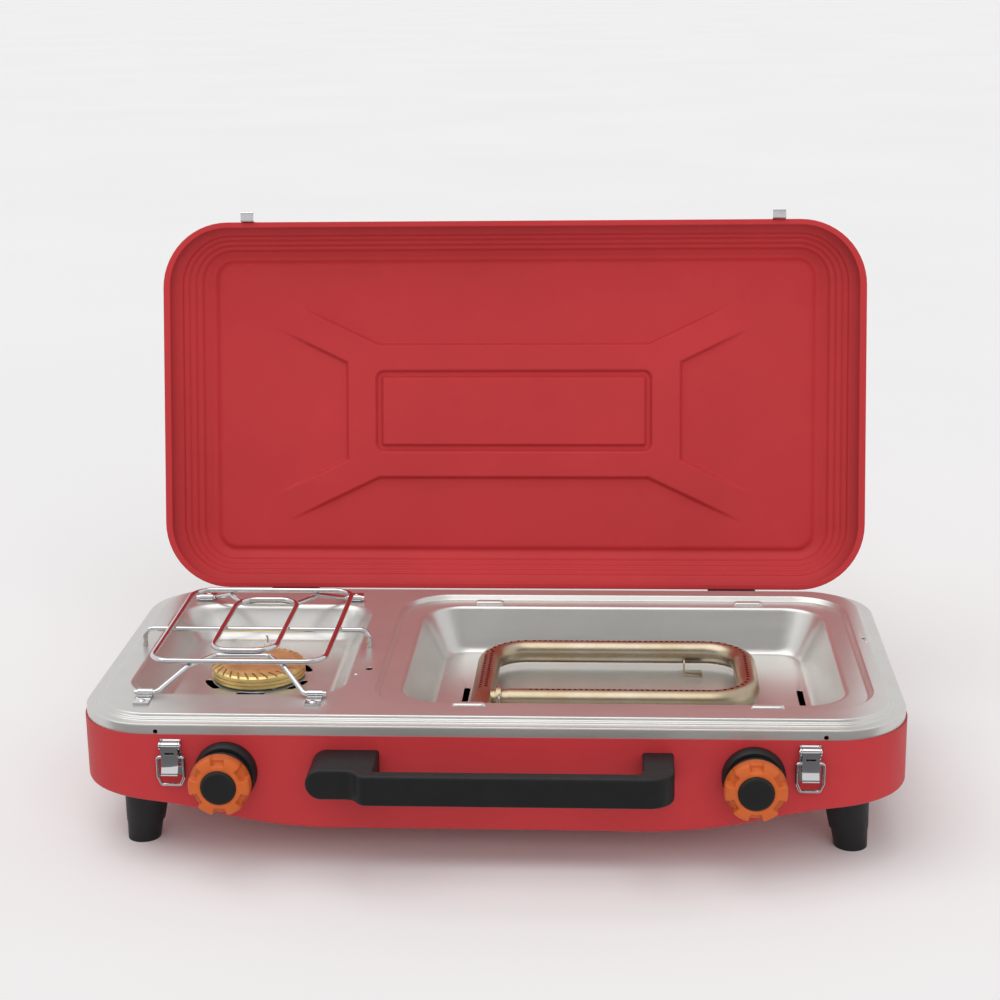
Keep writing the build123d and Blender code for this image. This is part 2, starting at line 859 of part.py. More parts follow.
def latch_base(side):
    """A plate on the front wall with two ears for the lever's pin."""
    x = side * latch_x
    half = latch_base_width / 2
    bottom = latch_base_bottom()
    top = bottom + latch_base_height
    plate = block((x - half, front - latch_plate, bottom), (x + half, front, top))
    pin_y = front - latch_pin_out
    ear_in = latch_width / 2 + 0.3
    for ear_side in (-1, 1):
        ear_low = min(ear_side * ear_in, ear_side * half)
        ear_high = max(ear_side * ear_in, ear_side * half)
        ear = block((x + ear_low, pin_y, latch_pin_height - 3), (x + ear_high, front, latch_pin_height + 3))
        ear += rod((x + ear_low, pin_y, latch_pin_height), (x + ear_high, pin_y, latch_pin_height), 6.0)
        plate += ear
    plate -= rod((x - half - 1, pin_y, latch_pin_height), (x + half + 1, pin_y, latch_pin_height), latch_pin)
    for place in latch_rivet_places(side):
        plate -= rivet_hole(place, (0, -1, 0))
    return plate


def latch_pins():
    half = latch_base_width / 2 + 0.6
    pin_y = front - latch_pin_out
    pins = []
    for side in (-1, 1):
        x = side * latch_x
        pins.append(rod((x - half, pin_y, latch_pin_height), (x + half, pin_y, latch_pin_height), latch_pin))
    return group(pins)


def latch_rivets():
    grip = latch_plate + casing_sheet
    return group([rivet(place, (0, -1, 0), grip) for side in (-1, 1) for place in latch_rivet_places(side)])


def latch_lever(side):
    """A sheet lever rolled round its pin, with side flanges for the bail and a curled tip."""
    pin_y = front - latch_pin_out
    face = pin_y - latch_barrel / 2
    back = face + latch_plate
    tip = latch_pin_height - lever_length
    half = latch_width / 2
    points = [(face, latch_pin_height), (face, tip + 5), (face - 2.6, tip), (face - 3.6, tip + 0.6)]
    points += [(face - 3.6 + latch_plate * 0.4, tip - 0.6), (face - 1.4, tip - 0.6), (back, tip + 4.6)]
    points += [(back, latch_pin_height)]
    plate = extrude(outline(points, Plane.YZ), amount=half, both=True)
    lever = plate + rod((-half, pin_y, latch_pin_height), (half, pin_y, latch_pin_height), latch_barrel)
    pivot_z = latch_pin_height - bail_pivot_drop
    flange_low = pivot_z - lever_ear / 2
    flange_high = pivot_z + lever_ear / 2
    for flange_side in (-1, 1):
        inner = flange_side * (half - 1.4)
        outer = flange_side * half
        low = (min(inner, outer), face, flange_low)
        high = (max(inner, outer), pin_y + bail_wire / 2 + 0.7, flange_high)
        lever += block(low, high)
    bore = latch_pin + 2 * spindle_play
    lever -= rod((-20, pin_y, latch_pin_height), (20, pin_y, latch_pin_height), bore)
    lever -= rod((-20, pin_y, pivot_z), (20, pin_y, pivot_z), bail_wire + 2 * spindle_play)
    window = block((-half * 0.55, face - 1, flange_high + 0.4), (half * 0.55, back + 0.2, flange_high + 2.0))
    return Pos(side * latch_x, 0, 0) * (lever - window)


def latch_bail(side):
    """A wire loop hooked into the lever's flanges."""
    pin_y = front - latch_pin_out
    pivot_z = latch_pin_height - bail_pivot_drop
    half = bail_width / 2
    inner = latch_width / 2 - 1.6
    bottom = pivot_z - bail_length
    points = [(-inner, pin_y, pivot_z), (-half, pin_y, pivot_z), (-half, pin_y, bottom + 6)]
    points += [(-half + 2.6, pin_y, bottom), (half - 2.6, pin_y, bottom)]
    points += [(half, pin_y, bottom + 6), (half, pin_y, pivot_z), (inner, pin_y, pivot_z)]
    return Pos(side * latch_x, 0, 0) * bent_rod(points, bail_wire * 0.8, bail_wire)


# Carry handle

def handle_plan():
    """The bar with its right arm from above; its left end steps back to the left arm's front."""
    face = front - handle_reach
    back = face + handle_bar
    step_start = handle_left_inner - 4
    step_end = step_start - handle_step
    middle = ((step_start + step_end) / 2, (face + back) / 2)
    sides = Line((handle_right, front), (handle_right, face + handle_corner))
    sides += CenterArc((handle_right - handle_corner, face + handle_corner), handle_corner, 0, -90)
    sides += Line((handle_right - handle_corner, face), (step_start, face))
    first_turn = TangentArc((step_start, face), middle, tangent=(-1, 0))
    sides += first_turn
    sides += TangentArc(middle, (step_end, back), tangent=first_turn % 1)
    tongue = back + 8
    tongue_end = [(handle_left_inner, tongue), (handle_left_inner, back)]
    sides += Polyline((step_end, back), (step_end, tongue), *tongue_end)
    sides += Line((handle_left_inner, back), (handle_right_inner - 6, back))
    sides += CenterArc((handle_right_inner - 6, back + 6), 6, -90, 90)
    sides += Polyline((handle_right_inner, back + 6), (handle_right_inner, front), (handle_right, front))
    return make_face(sides)


def carry_handle():
    """One moulding: a left arm with a round end, the bar and a curved right arm."""
    back = front - handle_reach + handle_bar
    top = handle_low + handle_height
    end = handle_height / 2
    middle = handle_low + end
    round_x = handle_left + end
    handle = extrude(Pos(0, 0, handle_low) * handle_plan(), amount=handle_height)
    handle += block((round_x, back, handle_low), (handle_left_inner, front, top))
    handle += rod((round_x, back, middle), (round_x, front, middle), handle_height)

    def is_rounded(edge):
        at = edge.center()
        level = min(abs(at.Z - handle_low), abs(at.Z - top)) < 0.01
        flat = level and at.Y < front - 1 and abs(at.X - round_x) > 1
        nose = edge.geom_type == GeomType.CIRCLE and abs(at.Y - back) < 0.01
        return flat or nose

    handle = fillet(handle.edges().filter_by(is_rounded), handle_edge)
    for x, z in handle_screw_places():
        handle -= rod((x, front + 1, z), (x, front - handle_screw_grip - 2, z), handle_screw)
    return handle


def handle_screws():
    places = handle_screw_places()
    length = handle_screw_grip + casing_sheet
    head = 2.2 * handle_screw
    inward = (0, 1, 0)
    return group([
        screw((x, inside_front, z), inward, length, handle_screw, head, 0.3 * head) for x, z in places
    ])


# Knobs, bezels and valves

def knob_bezel(side):
    """A black ring clamped to the front wall by the valve's nut."""
    profile = [(neck_hole / 2, 0), (bezel_width / 2, 0), (bezel_width / 2, bezel_out * 0.55)]
    profile += [(bezel_lip / 2, bezel_out), (bezel_mouth / 2, bezel_out), (bezel_mouth / 2, bezel_back)]
    profile += [(neck_hole / 2, bezel_back)]
    return to_front(side * knob_x, knob_z) * turned(profile)


def valve_nuts():
    nut = Pos(0, 0, bezel_back) * hexagon_nut(nut_across, neck_width, nut_thick)
    return group([to_front(side * knob_x, knob_z) * nut for side in (-1, 1)])


def valve(side):
    """A gas valve behind the wall: body, shoulder, threaded neck and an inlet block below."""
    x = side * knob_x
    half = valve_width / 2
    body_front = inside_front + valve_front
    body = block((x - half, body_front, knob_z - half), (x + half, body_front + valve_length, knob_z + half))
    inlet_low = manifold_z - manifold_pipe_width
    inlet_half = manifold_pipe_width
    body += block(
        (x - half * 0.8, manifold_y - inlet_half, inlet_low), (x + half * 0.8, manifold_y + inlet_half, knob_z)
    )
    body += rod((x, inside_front, knob_z), (x, body_front, knob_z), valve_width * 0.9)
    neck_end = front - bezel_back - nut_thick
    body += rod((x, neck_end, knob_z), (x, body_front, knob_z), neck_width)
    bore = spindle_width + 2 * spindle_play
    body -= rod((x, neck_end - 1, knob_z), (x, body_front + valve_length * 0.7, knob_z), bore)
    return body - rod((x - 40, manifold_y, manifold_z), (x + 40, manifold_y, manifold_z), manifold_pipe_width)


def thrust_ring(side):
    """A ring on the spindle that the knob presses on."""
    back = bezel_back + nut_thick + knob_push + 0.8
    bore = spindle_width / 2 + spindle_play
    profile = [(bore, back), (bore + 3, back), (bore + 3, back + 2), (bore, back + 2)]
    return to_front(side * knob_x, knob_z) * turned(profile)


def thrust_front():
    """Distance of the thrust ring's front face from the wall."""
    return bezel_back + nut_thick + knob_push + 2.8


def knob_spindle(side):
    x = side * knob_x
    tail = inside_front + valve_front + valve_length * 0.7 - knob_push - 1
    return rod((x, front - grip_front + 3, knob_z), (x, tail, knob_z), spindle_width)


def knob_core(side):
    """The black back skirt with the round cap in front of it."""
    hub = thrust_front() + spindle_play
    skirt = skirt_width / 2
    cap = cap_width / 2
    profile = [(spindle_width / 2, hub), (7.5, hub), (7.5, grip_back - 3), (skirt - 2.6, grip_back - 3)]
    profile += [(skirt - 2.6, skirt_back), (skirt - 0.8, skirt_back)]
    profile += [(skirt, skirt_back + 1), (skirt, grip_back)]
    profile += [(cap, grip_back), (cap, cap_front - 1.2), (cap - 1.6, cap_front), (0, cap_front)]
    profile += [(0, grip_front - 3), (spindle_width / 2, grip_front - 3)]
    return to_front(side * knob_x, knob_z) * turned(profile)


def knob_grip(side):
    """The orange ring with six deep notches in its crown."""
    outer = grip_width / 2
    inner = cap_width / 2
    profile = [(inner, grip_back), (outer - 0.4, grip_back), (outer, grip_back + 0.5)]
    profile += [(outer, grip_front - 2), (outer - 2, grip_front), (inner, grip_front)]
    ring = turned(profile)
    notch_floor = grip_back + grip_flange
    reach = outer - inner - 2.5
    notch = Pos(inner + 2.5 + reach, 0, notch_floor + 10) * Box(2 * reach, grip_notch, 20)
    for turn in range(6):
        ring -= Rot(0, 0, 90 + 60 * turn) * notch
    return to_front(side * knob_x, knob_z) * ring


# Gas lines

def manifold_pipe():
    valve_end = -knob_x - valve_width * 0.4
    points = [(valve_end, manifold_y, manifold_z), (inlet_x, manifold_y, manifold_z)]
    points.append((inlet_x, rear - 3 * inlet_socket, inlet_z))
    points.append((inlet_x, rear - 0.6 * inlet_socket, inlet_z))
    return bent_rod(points, 18, manifold_pipe_width)


def to_rear(x, z):
    """Places a piece turned round Z on the rear wall, with its height pointing away from the user."""
    return Pos(x, rear, z) * Rot(-90, 0, 0)


def gas_inlet():
    """The brass inlet through the rear wall, with a plain stub for the hose nut."""
    stub = inlet_width / 2
    socket = stub + 1.9
    shoulder = stub + 3.9
    neck = inlet_nut_thick + 1
    tip = neck + inlet_stub
    profile = [(3, -inlet_socket), (socket, -inlet_socket), (socket, -6), (shoulder, -6)]
    profile += [(shoulder, -casing_sheet), (stub, -casing_sheet)]
    profile += [(stub, inlet_nut_thick), (stub - 0.8, inlet_nut_thick), (stub - 0.8, neck)]
    profile += [(stub, neck), (stub, tip), (stub - 1, tip + 1), (3, tip + 1)]
    body = to_rear(inlet_x, inlet_z) * turned(profile)
    pipe_end = rear - 0.6 * inlet_socket
    return body - rod((inlet_x, pipe_end - 15, inlet_z), (inlet_x, pipe_end, inlet_z), manifold_pipe_width)


def inlet_nut():
    return to_rear(inlet_x, inlet_z) * hexagon_nut(19.0, inlet_width, inlet_nut_thick)


def valve_back():
    """Rear face of the valve bodies."""
    return inside_front + valve_front + valve_length


def left_jet():
    back = valve_back()
    x = -knob_x
    jet = rod((x, back, knob_z), (x, back + 8, knob_z), 8.0)
    return jet + rod((x, back + 8, knob_z), (x, back + 12, knob_z), 5.0)


def loop_jet():
    """A brass block in front of the loop burner's mouth, with a nozzle."""
    block_rear = loop_inlet - 5
    jet = block((loop_left - 6, block_rear - 12, loop_z - 6), (loop_left + 6, block_rear, loop_z + 6))
    return jet + rod((loop_left, block_rear, loop_z), (loop_left, loop_inlet + 1, loop_z), 5.0)


def jet_bracket():
    """A strip that hangs the loop burner's jet from the deck."""
    middle = loop_inlet - 11
    top = deck_top - deck_sheet
    return block((loop_left - 6, middle - 0.6, loop_z + 6), (loop_left + 6, middle + 0.6, top))


def feed_pipe():
    y = loop_inlet - 11
    start = knob_x - valve_width / 2
    end = loop_left + 6
    run = end - start
    points = [(start, y, knob_z), (start + 0.5 * run, y, knob_z)]
    points += [(start + 0.72 * run, y, loop_z), (end, y, loop_z)]
    return bent_rod(points, 20, feed_pipe_width)


# Round burner

def burner_cup():
    neck = cup_radius - 0.6
    wall = cup_radius - cup_wall
    seat = bowl_floor - deck_sheet
    profile = [(0, cup_low), (cup_radius - 4, cup_low), (cup_radius, cup_low + 4)]
    profile += [(cup_radius, seat - cup_wall)]
    profile += [(cup_flange_radius, seat - cup_wall), (cup_flange_radius, seat), (neck, seat)]
    profile += [(neck, bowl_floor + cup_neck), (wall, bowl_floor + cup_neck), (wall, cup_low + cup_wall)]
    profile += [(0, cup_low + cup_wall)]
    cup = Pos(bowl_x, 0, 0) * turned(profile)
    cup -= rod((-knob_x, -2 * cup_radius, knob_z), (-knob_x, 0, knob_z), mixer_width)
    for x, y, z in cup_screw_places():
        cup -= rod((x, y, seat - 10), (x, y, seat + 1), 2.6)
    return cup


def cup_screws():
    return group([screw(place, (0, 0, 1), 4.0, 2.6, 5.0, 1.1) for place in cup_screw_places()])


def mixing_tube():
    """The tube from the jet to the cup, with a bell mouth."""
    x = -knob_x
    mouth = valve_back() + 9.5
    offset = bowl_x + knob_x
    end = -((cup_radius - 1) ** 2 - offset ** 2) ** 0.5
    length = end - mouth
    outer = mixer_width / 2
    inner = outer - mixer_wall
    bell = bell_width / 2
    profile = [(inner, length), (outer, length), (outer, 10), (bell, 0), (bell - mixer_wall, 0), (inner, 10)]
    return Pos(x, mouth, knob_z) * Rot(-90, 0, 0) * turned(profile)


def burner_cap():
    """The brass cap: two grooves round its side and slanted slots round its top."""
    low = bowl_floor + cup_neck - 1.4
    seat = bowl_floor + cup_neck
    top = low + cap_height
    side = cap_radius
    inside = cup_radius - cup_wall - 1
    profile = [(0, seat + 5), (inside, seat + 5), (inside, seat), (cup_radius, seat), (cup_radius, low)]
    profile += [(side - 0.6, low), (side, low + 0.6), (side, low + 2.4), (side - 1, low + 2.7)]
    profile += [(side - 1, low + 3.7), (side, low + 4.0)]
    profile += [(side, low + 5.4), (side - 1, low + 5.7), (side - 1, low + 6.7)]
    profile += [(side, low + 7.0), (side, low + 8.6)]
    profile += [(side - 1.4, low + 10), (side - 10, top - 0.4), (side - 16, top), (0, top)]
    cap = turned(profile)
    slot = Pos(side - 3.2, 0, top + 0.2) * Rot(0, 0, 32) * Box(11, 1.6, 7.0)
    for turn in range(cap_slots):
        cap -= Rot(0, 0, turn * 360 / cap_slots) * slot
    return Pos(bowl_x, 0, 0) * cap


# Loop burner

def loop_path(width):
    """The bent run from the mouth round to the start of the closing run."""
    points = [(loop_left, loop_inlet, loop_z), (loop_left, loop_rear, loop_z), (loop_right, loop_rear, loop_z)]
    points += [(loop_right, loop_front, loop_z), (loop_left + 20, loop_front, loop_z)]
    return bent_rod(points, loop_bend, width)


def loop_closing(width):
    """The crimped end of the front run, which meets the left run."""
    return rod((loop_left + 20, loop_front, loop_z), (loop_left, loop_front, loop_z), width)


def loop_tube_body():
    bore = loop_tube - 2 * loop_wall
    tube = loop_path(loop_tube) + loop_closing(loop_tube - 1.4)
    return tube - loop_path(bore) - loop_closing(bore - 1.4)


def loop_collar():
    """A flange ring round the joint of the front run."""
    start = loop_left + loop_tube / 2 + 1.5
    ring = rod((start, loop_front, loop_z), (start + 4, loop_front, loop_z), loop_tube + 4)
    return ring - rod((start - 1, loop_front, loop_z), (start + 5, loop_front, loop_z), loop_tube - 1.4)


def loop_bracket():
    """An angle plate between the well's floor and the back run."""
    x = loop_right - 1.3 * loop_bend
    tangent = loop_rear - loop_tube / 2
    foot_plate = block((x - 7.5, tangent - 20, well_floor), (x + 7.5, tangent, well_floor + 1.2))
    return foot_plate + block((x - 7.5, tangent - 1.2, well_floor), (x + 7.5, tangent, loop_z))


# Ignition

def left_electrode_place():
    """Top of the left electrode's ceramic."""
    return (bowl_x, cap_radius + 5.5, bowl_floor + 13)


def right_electrode_place():
    """Top of the right electrode's ceramic."""
    return (loop_left + 13.5, loop_front - loop_tube / 2 - 5.5, well_floor + 15)


def electrode_ceramic(place):
    x, y, z = place
    ceramic = rod((x, y, z - 34), (x, y, z), 6.2)
    return ceramic - rod((x, y, z - 5), (x, y, z + 1), 1.4)


def electrode_tip(place, lean):
    x, y, z = place
    points = [(x, y, z - 5), (x, y, z + 5), (x, y + lean * 4, z + 6.5)]
    return bent_rod(points, 1.6, 1.4)


def electrode_ceramics():
    return group([electrode_ceramic(place) for place in (left_electrode_place(), right_electrode_place())])


def electrode_tips():
    return group([electrode_tip(left_electrode_place(), -1), electrode_tip(right_electrode_place(), 1)])


def igniter(side):
    """A piezo block beside the valve."""
    near = side * knob_x + valve_width / 2
    back = valve_back()
    return block((near, back - 28, knob_z - 9), (near + 13, back, knob_z + 9))


def soft_path(points):
    """Bend radii for a lead, as large as its shorter neighbouring run allows."""
    radii = []
    for before, at, after in zip(points, points[1:], points[2:]):
        run_in = Vector(*at) - Vector(*before)
        run_out = Vector(*after) - Vector(*at)
        turn = radians(run_in.get_angle(run_out))
        radii.append(0.45 * min(run_in.length, run_out.length) / tan(turn / 2))
    return radii


def lead(points):
    return bent_rod(points, soft_path(points), 2.6)


def ignition_lead_left():
    x, y, z = left_electrode_place()
    start_x = -knob_x + valve_width / 2 + 6.5
    low = cup_low - 12
    points = [(start_x, valve_back(), knob_z), (start_x, valve_back() + 20, knob_z)]
    points += [(start_x + 34, -40, low), (start_x + 30, 20, low)]
    points += [(x, y, low), (x, y, z - 34)]
    return lead(points)


def ignition_lead_right():
    x, y, z = right_electrode_place()
    start_x = knob_x + valve_width / 2 + 6.5
    low = well_floor - 26
    points = [(start_x, valve_back(), knob_z), (start_x, valve_back() + 12, knob_z)]
    run = x - start_x
    points += [(start_x + 0.3 * run, y - 8, low), (x - 0.2 * run, y + 6, low), (x, y, low), (x, y, z - 34)]
    return lead(points)


# Trivet

def clip_axis():
    """Height of the wires held in the P-clips."""
    return deck_top + clip_strip + wire / 2 + 2 * weld_gap


def leg_high():
    """Height of the leg wires and the middle bar under the loops."""
    return clip_axis() + leg_rise


def wire_loop(width, depth):
    level = leg_high() + wire + weld_gap
    half_x = width / 2
    half_y = depth / 2
    points = [(-half_x, -half_y), (half_x, -half_y), (half_x, half_y), (-half_x, half_y)]
    ring = [(trivet_x + x, y, level) for x, y in points]
    return bent_rod(ring, loop_corner, wire, closed=True)


def leg_wire(side):
    """A bent wire from clip to clip that carries the loops at one end."""
    low = clip_axis()
    high = leg_high()
    end = clip_spread_x / 2 + 8.5
    knee = clip_spread_x / 2 - 8
    clip_y = side * clip_spread_y / 2
    rise_y = side * (outer_loop_depth / 2 + 1)
    rest_y = side * inner_loop_depth / 2
    rest = inner_loop_width / 2 - 4
    rise = (knee + rest) / 2 - 1
    points = [(-end, clip_y, low), (-knee, clip_y, low), (-rise, rise_y, high), (-rest, rest_y, high)]
    points += [(-x, y, z) for x, y, z in reversed(points)]
    return bent_rod([(trivet_x + x, y, z) for x, y, z in points], 6, wire)


def middle_bar():
    high = leg_high()
    half = bar_width / 2
    points = [(-half, bar_y, deck_top + weld_gap), (-half, bar_y, high), (half, bar_y, high)]
    points.append((half, bar_y, deck_top + weld_gap))
    return bent_rod([(trivet_x + x, y, z) for x, y, z in points], 7, wire)


def trivet_clips():
    """P-clips: a strip rolled round the wire with a doubled tail flat on the deck."""
    clips = []
    axis = clip_axis()
    inner = wire / 2 + weld_gap
    outer = inner + clip_strip
    for x, y, side in clip_places():
        start = (x - clip_width / 2, y, axis)
        end = (x + clip_width / 2, y, axis)
        tail_low = min(y, y + side * clip_tail)
        tail_high = max(y, y + side * clip_tail)
        clip = rod(start, end, 2 * outer)
        clip += block(
            (x - clip_width / 2, tail_low, deck_top), (x + clip_width / 2, tail_high, deck_top + 2 * clip_strip)
        )
        clips.append(clip - rod((x - 20, y, axis), (x + 20, y, axis), 2 * inner))
    holes = [rod((x, y, z - 5), (x, y, z + 5), 3.0) for x, y, z in clip_rivet_places()]
    return group([clip - holes for clip in clips])


def clip_rivets():
    grip = 2 * clip_strip + deck_sheet
    return group([rivet(place, (0, 0, 1), grip) for place in clip_rivet_places()])


# One file for each node

def nodes():
    pieces = {
        "casing_tray": casing_tray(),
        "feet": feet(),
        "foot_screws": foot_screws(),
        "foot_nuts": foot_nuts(),
        "deck_plate": deck_plate(),
        "deck_screws": deck_screws(),
        "lid_shell": lid_shell(),
        "hinge_pins": hinge_pins(),
        "hinge_rivets": hinge_rivets(),
        "lid_rivets": lid_rivets(),
        "latch_pins": latch_pins(),
        "latch_rivets": latch_rivets(),
        "carry_handle": carry_handle(),
        "handle_screws": handle_screws(),
        "valve_nuts": valve_nuts(),
        "manifold_pipe": manifold_pipe(),
        "gas_inlet": gas_inlet(),
        "inlet_nut": inlet_nut(),
        "left_jet": left_jet(),
        "loop_jet": loop_jet(),
        "jet_bracket": jet_bracket(),
        "feed_pipe": feed_pipe(),
        "burner_cup": burner_cup(),
        "cup_screws": cup_screws(),
        "mixing_tube": mixing_tube(),
        "burner_cap": burner_cap(),
        "loop_tube": loop_tube_body(),
        "loop_collar": loop_collar(),
        "loop_bracket": loop_bracket(),
        "electrode_ceramics": electrode_ceramics(),
        "electrode_tips": electrode_tips(),
        "ignition_leads": group([ignition_lead_left(), ignition_lead_right()]),
        "trivet_outer_loop": wire_loop(outer_loop_width, outer_loop_depth),
        "trivet_inner_loop": wire_loop(inner_loop_width, inner_loop_depth),
        "trivet_leg_front": leg_wire(-1),
        "trivet_leg_rear": leg_wire(1),
        "trivet_bar": middle_bar(),
        "trivet_clips": trivet_clips(),
        "clip_rivets": clip_rivets(),
    }
    for name, side in (("left", -1), ("right", 1)):
        pieces["latch_lever_" + name] = latch_lever(side)
        pieces["latch_bail_" + name] = latch_bail(side)
        pieces["valve_" + name] = valve(side)
        pieces["thrust_ring_" + name] = thrust_ring(side)
        pieces["spindle_" + name] = knob_spindle(side)
        pieces["knob_core_" + name] = knob_core(side)
        pieces["knob_grip_" + name] = knob_grip(side)
    pairs = {
        "lid_catches": lid_catch,
        "hinge_bases": hinge_base,
        "hinge_leaves": hinge_lid_leaf,
        "latch_bases": latch_base,
        "knob_bezels": knob_bezel,
        "igniters": igniter,
    }
    for name, make in pairs.items():
        pieces[name] = group([make(-1), make(1)])
    return pieces


os.makedirs("parts", exist_ok=True)
for name, piece in nodes().items():
    export_step(piece, "parts/" + name + ".step")
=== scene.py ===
import json
from math import cos, hypot, pi, radians, sin

import bmesh
import bpy
from mathutils import Matrix, Vector
from mathutils.geometry import delaunay_2d_cdt


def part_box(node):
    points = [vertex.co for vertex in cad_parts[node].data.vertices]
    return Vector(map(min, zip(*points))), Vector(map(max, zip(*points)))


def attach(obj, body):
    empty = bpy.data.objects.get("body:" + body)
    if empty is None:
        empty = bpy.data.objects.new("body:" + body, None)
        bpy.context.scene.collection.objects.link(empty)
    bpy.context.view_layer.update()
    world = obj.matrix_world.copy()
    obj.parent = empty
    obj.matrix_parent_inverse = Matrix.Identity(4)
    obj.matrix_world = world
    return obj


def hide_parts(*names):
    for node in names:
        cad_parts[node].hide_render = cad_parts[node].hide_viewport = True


bl_info = {
    "name": "Two-burner camping stove",
    "version": (1, 0, 0),
    "blender": (4, 5, 0),
    "location": "View3D > Sidebar > Stove",
    "description": "Dresses the packed camping stove with pressed sheet, wire, burners and finishes",
    "category": "Object",
}

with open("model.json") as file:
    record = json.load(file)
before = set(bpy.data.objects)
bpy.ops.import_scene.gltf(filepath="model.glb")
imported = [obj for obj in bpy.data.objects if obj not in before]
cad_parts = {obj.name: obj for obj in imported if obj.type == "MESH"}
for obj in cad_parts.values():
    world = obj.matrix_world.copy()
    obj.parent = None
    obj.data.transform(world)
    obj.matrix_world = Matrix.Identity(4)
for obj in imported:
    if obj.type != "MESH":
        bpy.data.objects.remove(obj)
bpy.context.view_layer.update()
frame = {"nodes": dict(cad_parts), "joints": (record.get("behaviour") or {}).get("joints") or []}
mm = 0.001

# Sheet levels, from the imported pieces' boxes

casing_low, casing_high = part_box("casing_tray")
deck_low, deck_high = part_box("deck_plate")
casing_width = casing_high.x - casing_low.x
casing_depth = casing_high.y - casing_low.y
casing_corner = 56 * mm
deck_top = deck_high.z
deck_sheet = 0.8 * mm
well_floor = deck_low.z + deck_sheet
ledge = deck_top - 4 * mm
land = deck_top - 4 * mm
bowl_floor = deck_top - 25 * mm
lid_low = land + 0.3 * mm
loop_level = well_floor + 13 * mm

# Pressed deck: hollows, holes and small pressings

deck_setback = 1.2 * mm
skirt_drop = 13 * mm
rim_step = 1.6 * mm
skirt_hole_x = 237 * mm
skirt_hole_below = 5.5 * mm
skirt_hole_radius = 1.7 * mm
well_middle = (95 * mm, 2.5 * mm)
well_size = (364 * mm, 256 * mm)
ledge_inset = 3 * mm
ledge_width = 15.5 * mm
well_slope = 18 * mm
bowl_middle = (-190.5 * mm, -1 * mm)
bowl_size = (160 * mm, 206 * mm)
deck_holes = ((-96.5 * mm, -50 * mm, 2.8 * mm), (283.1 * mm, 26 * mm, 1.8 * mm))
deck_pips = ((-105 * mm, -61.6 * mm), (284.5 * mm, 18.5 * mm))
bump_size = (25 * mm, 7.8 * mm)
bump_places = (-16 * mm, 199 * mm)
drain_size = (5 * mm, 38 * mm)
drain_corner = 2.49 * mm

# Burners

burner_middle = (-190.5 * mm, 0.0)
burner_seat = 28.6 * mm
air_ring = 39.5 * mm
air_slot = 6 * mm
air_slot_starts = (198, 258, 318, 18, 138)
air_slot_sweep = 24
electrode_hole = 3.1 * mm
left_electrode_y = 42 * mm
loop_left = -11 * mm
loop_right = 191 * mm
loop_front = -48.5 * mm
loop_rear = 61.5 * mm
loop_inlet = -126 * mm
loop_bend = 30.8 * mm
loop_gap = 20 * mm
loop_tube = 18 * mm
loop_wall = 1 * mm
port_row = 2.2 * mm
port_free_end = 14 * mm
stay_gauge = 1.2 * mm
stay_width = 14 * mm

# Pressed lid

lid_sheet = 1.0 * mm
panel_edge = 43.3 * mm
panel_level = 31.3 * mm
panel_corner = 13 * mm
panel_half = (234 * mm, 100 * mm)
depth_share = 0.77
terraces = 4
star_shift = 5 * mm
tip_way = (0.904, 0.427)
tip_end = 226 * mm
tip_fade = 54 * mm
frame_half = (119.5 * mm, 35 * mm)
frame_corner = 7 * mm
frame_groove = 5.5 * mm
frame_wall = 1.4 * mm

# Knob grips: the first four in millimetres, as in the grip's section

grip_crown = 17
grip_radius = 22
grip_back = 9
notch_pinch = 2.6
grip_steps = 240
notch_depth = 5.4 * mm
notch_width = 10.4 * mm
notch_slope = 1.8 * mm
notch_middle = 19 * mm

# Studio: lamps with their direction, spread in degrees, strength and whether metal mirrors them,
# and grey cards with their place, tilt in degrees and half size

lamps = (
    ("key_lamp", (0.25, -1.0, 0.58), 55, 1.05, False),
    ("top_lamp", (-0.30, -0.16, 1.0), 62, 1.08, True),
)
cards = (
    ("high_card", (0, -2.4, 2.0), 55, (3.0, 0.75)),
    ("low_card", (0, -0.62, 0.002), 0, (0.9, 0.4)),
)
card_grey = (0.14, 0.14, 0.145)
floor_radius = 60.0
ambient_colour = (1.0, 0.99, 0.98)
ambient_level = 0.45
backdrop = (0.86, 0.86, 0.87)
camera_lens = 71.62
camera_place = (94.3 * mm, -1459.5 * mm, 635.9 * mm)
camera_yaw, camera_pitch, camera_roll = radians(3.64), radians(15.44), radians(0.84)


# Settings that a user would change

def length_setting(name, description, value):
    return bpy.props.FloatProperty(name=name, description=description, default=value, unit="LENGTH")


def colour_setting(name, description, value):
    return bpy.props.FloatVectorProperty(
        name=name, description=description, default=value, subtype="COLOR", min=0, max=1)


class StoveSizes(bpy.types.PropertyGroup):
    """Sizes of the fine shapes that the pressed and bent pieces get."""

    corner_steps: bpy.props.IntProperty(
        name="Corner steps", description="Faces round each corner of a pressing", default=14, min=4)
    panel_cell: length_setting("Panel cell", "Grid size of the lid's pressed panel", 1.0 * mm)
    star_rise: length_setting("Star rise", "Height of the star pressing in the lid", 4.0 * mm)
    star_slope: length_setting("Star slope", "Width of the star pressing's sloping edge", 2.6 * mm)
    frame_deep: length_setting("Frame depth", "Depth of the groove round the middle field", 3.3 * mm)
    soft_edge: length_setting("Soft edge", "Rounding of the knobs' edges", 0.5 * mm)
    port_width: length_setting("Port width", "Diameter of the loop burner's gas ports", 2.4 * mm)
    port_pitch: length_setting("Port pitch", "Distance between two gas ports", 4.2 * mm)


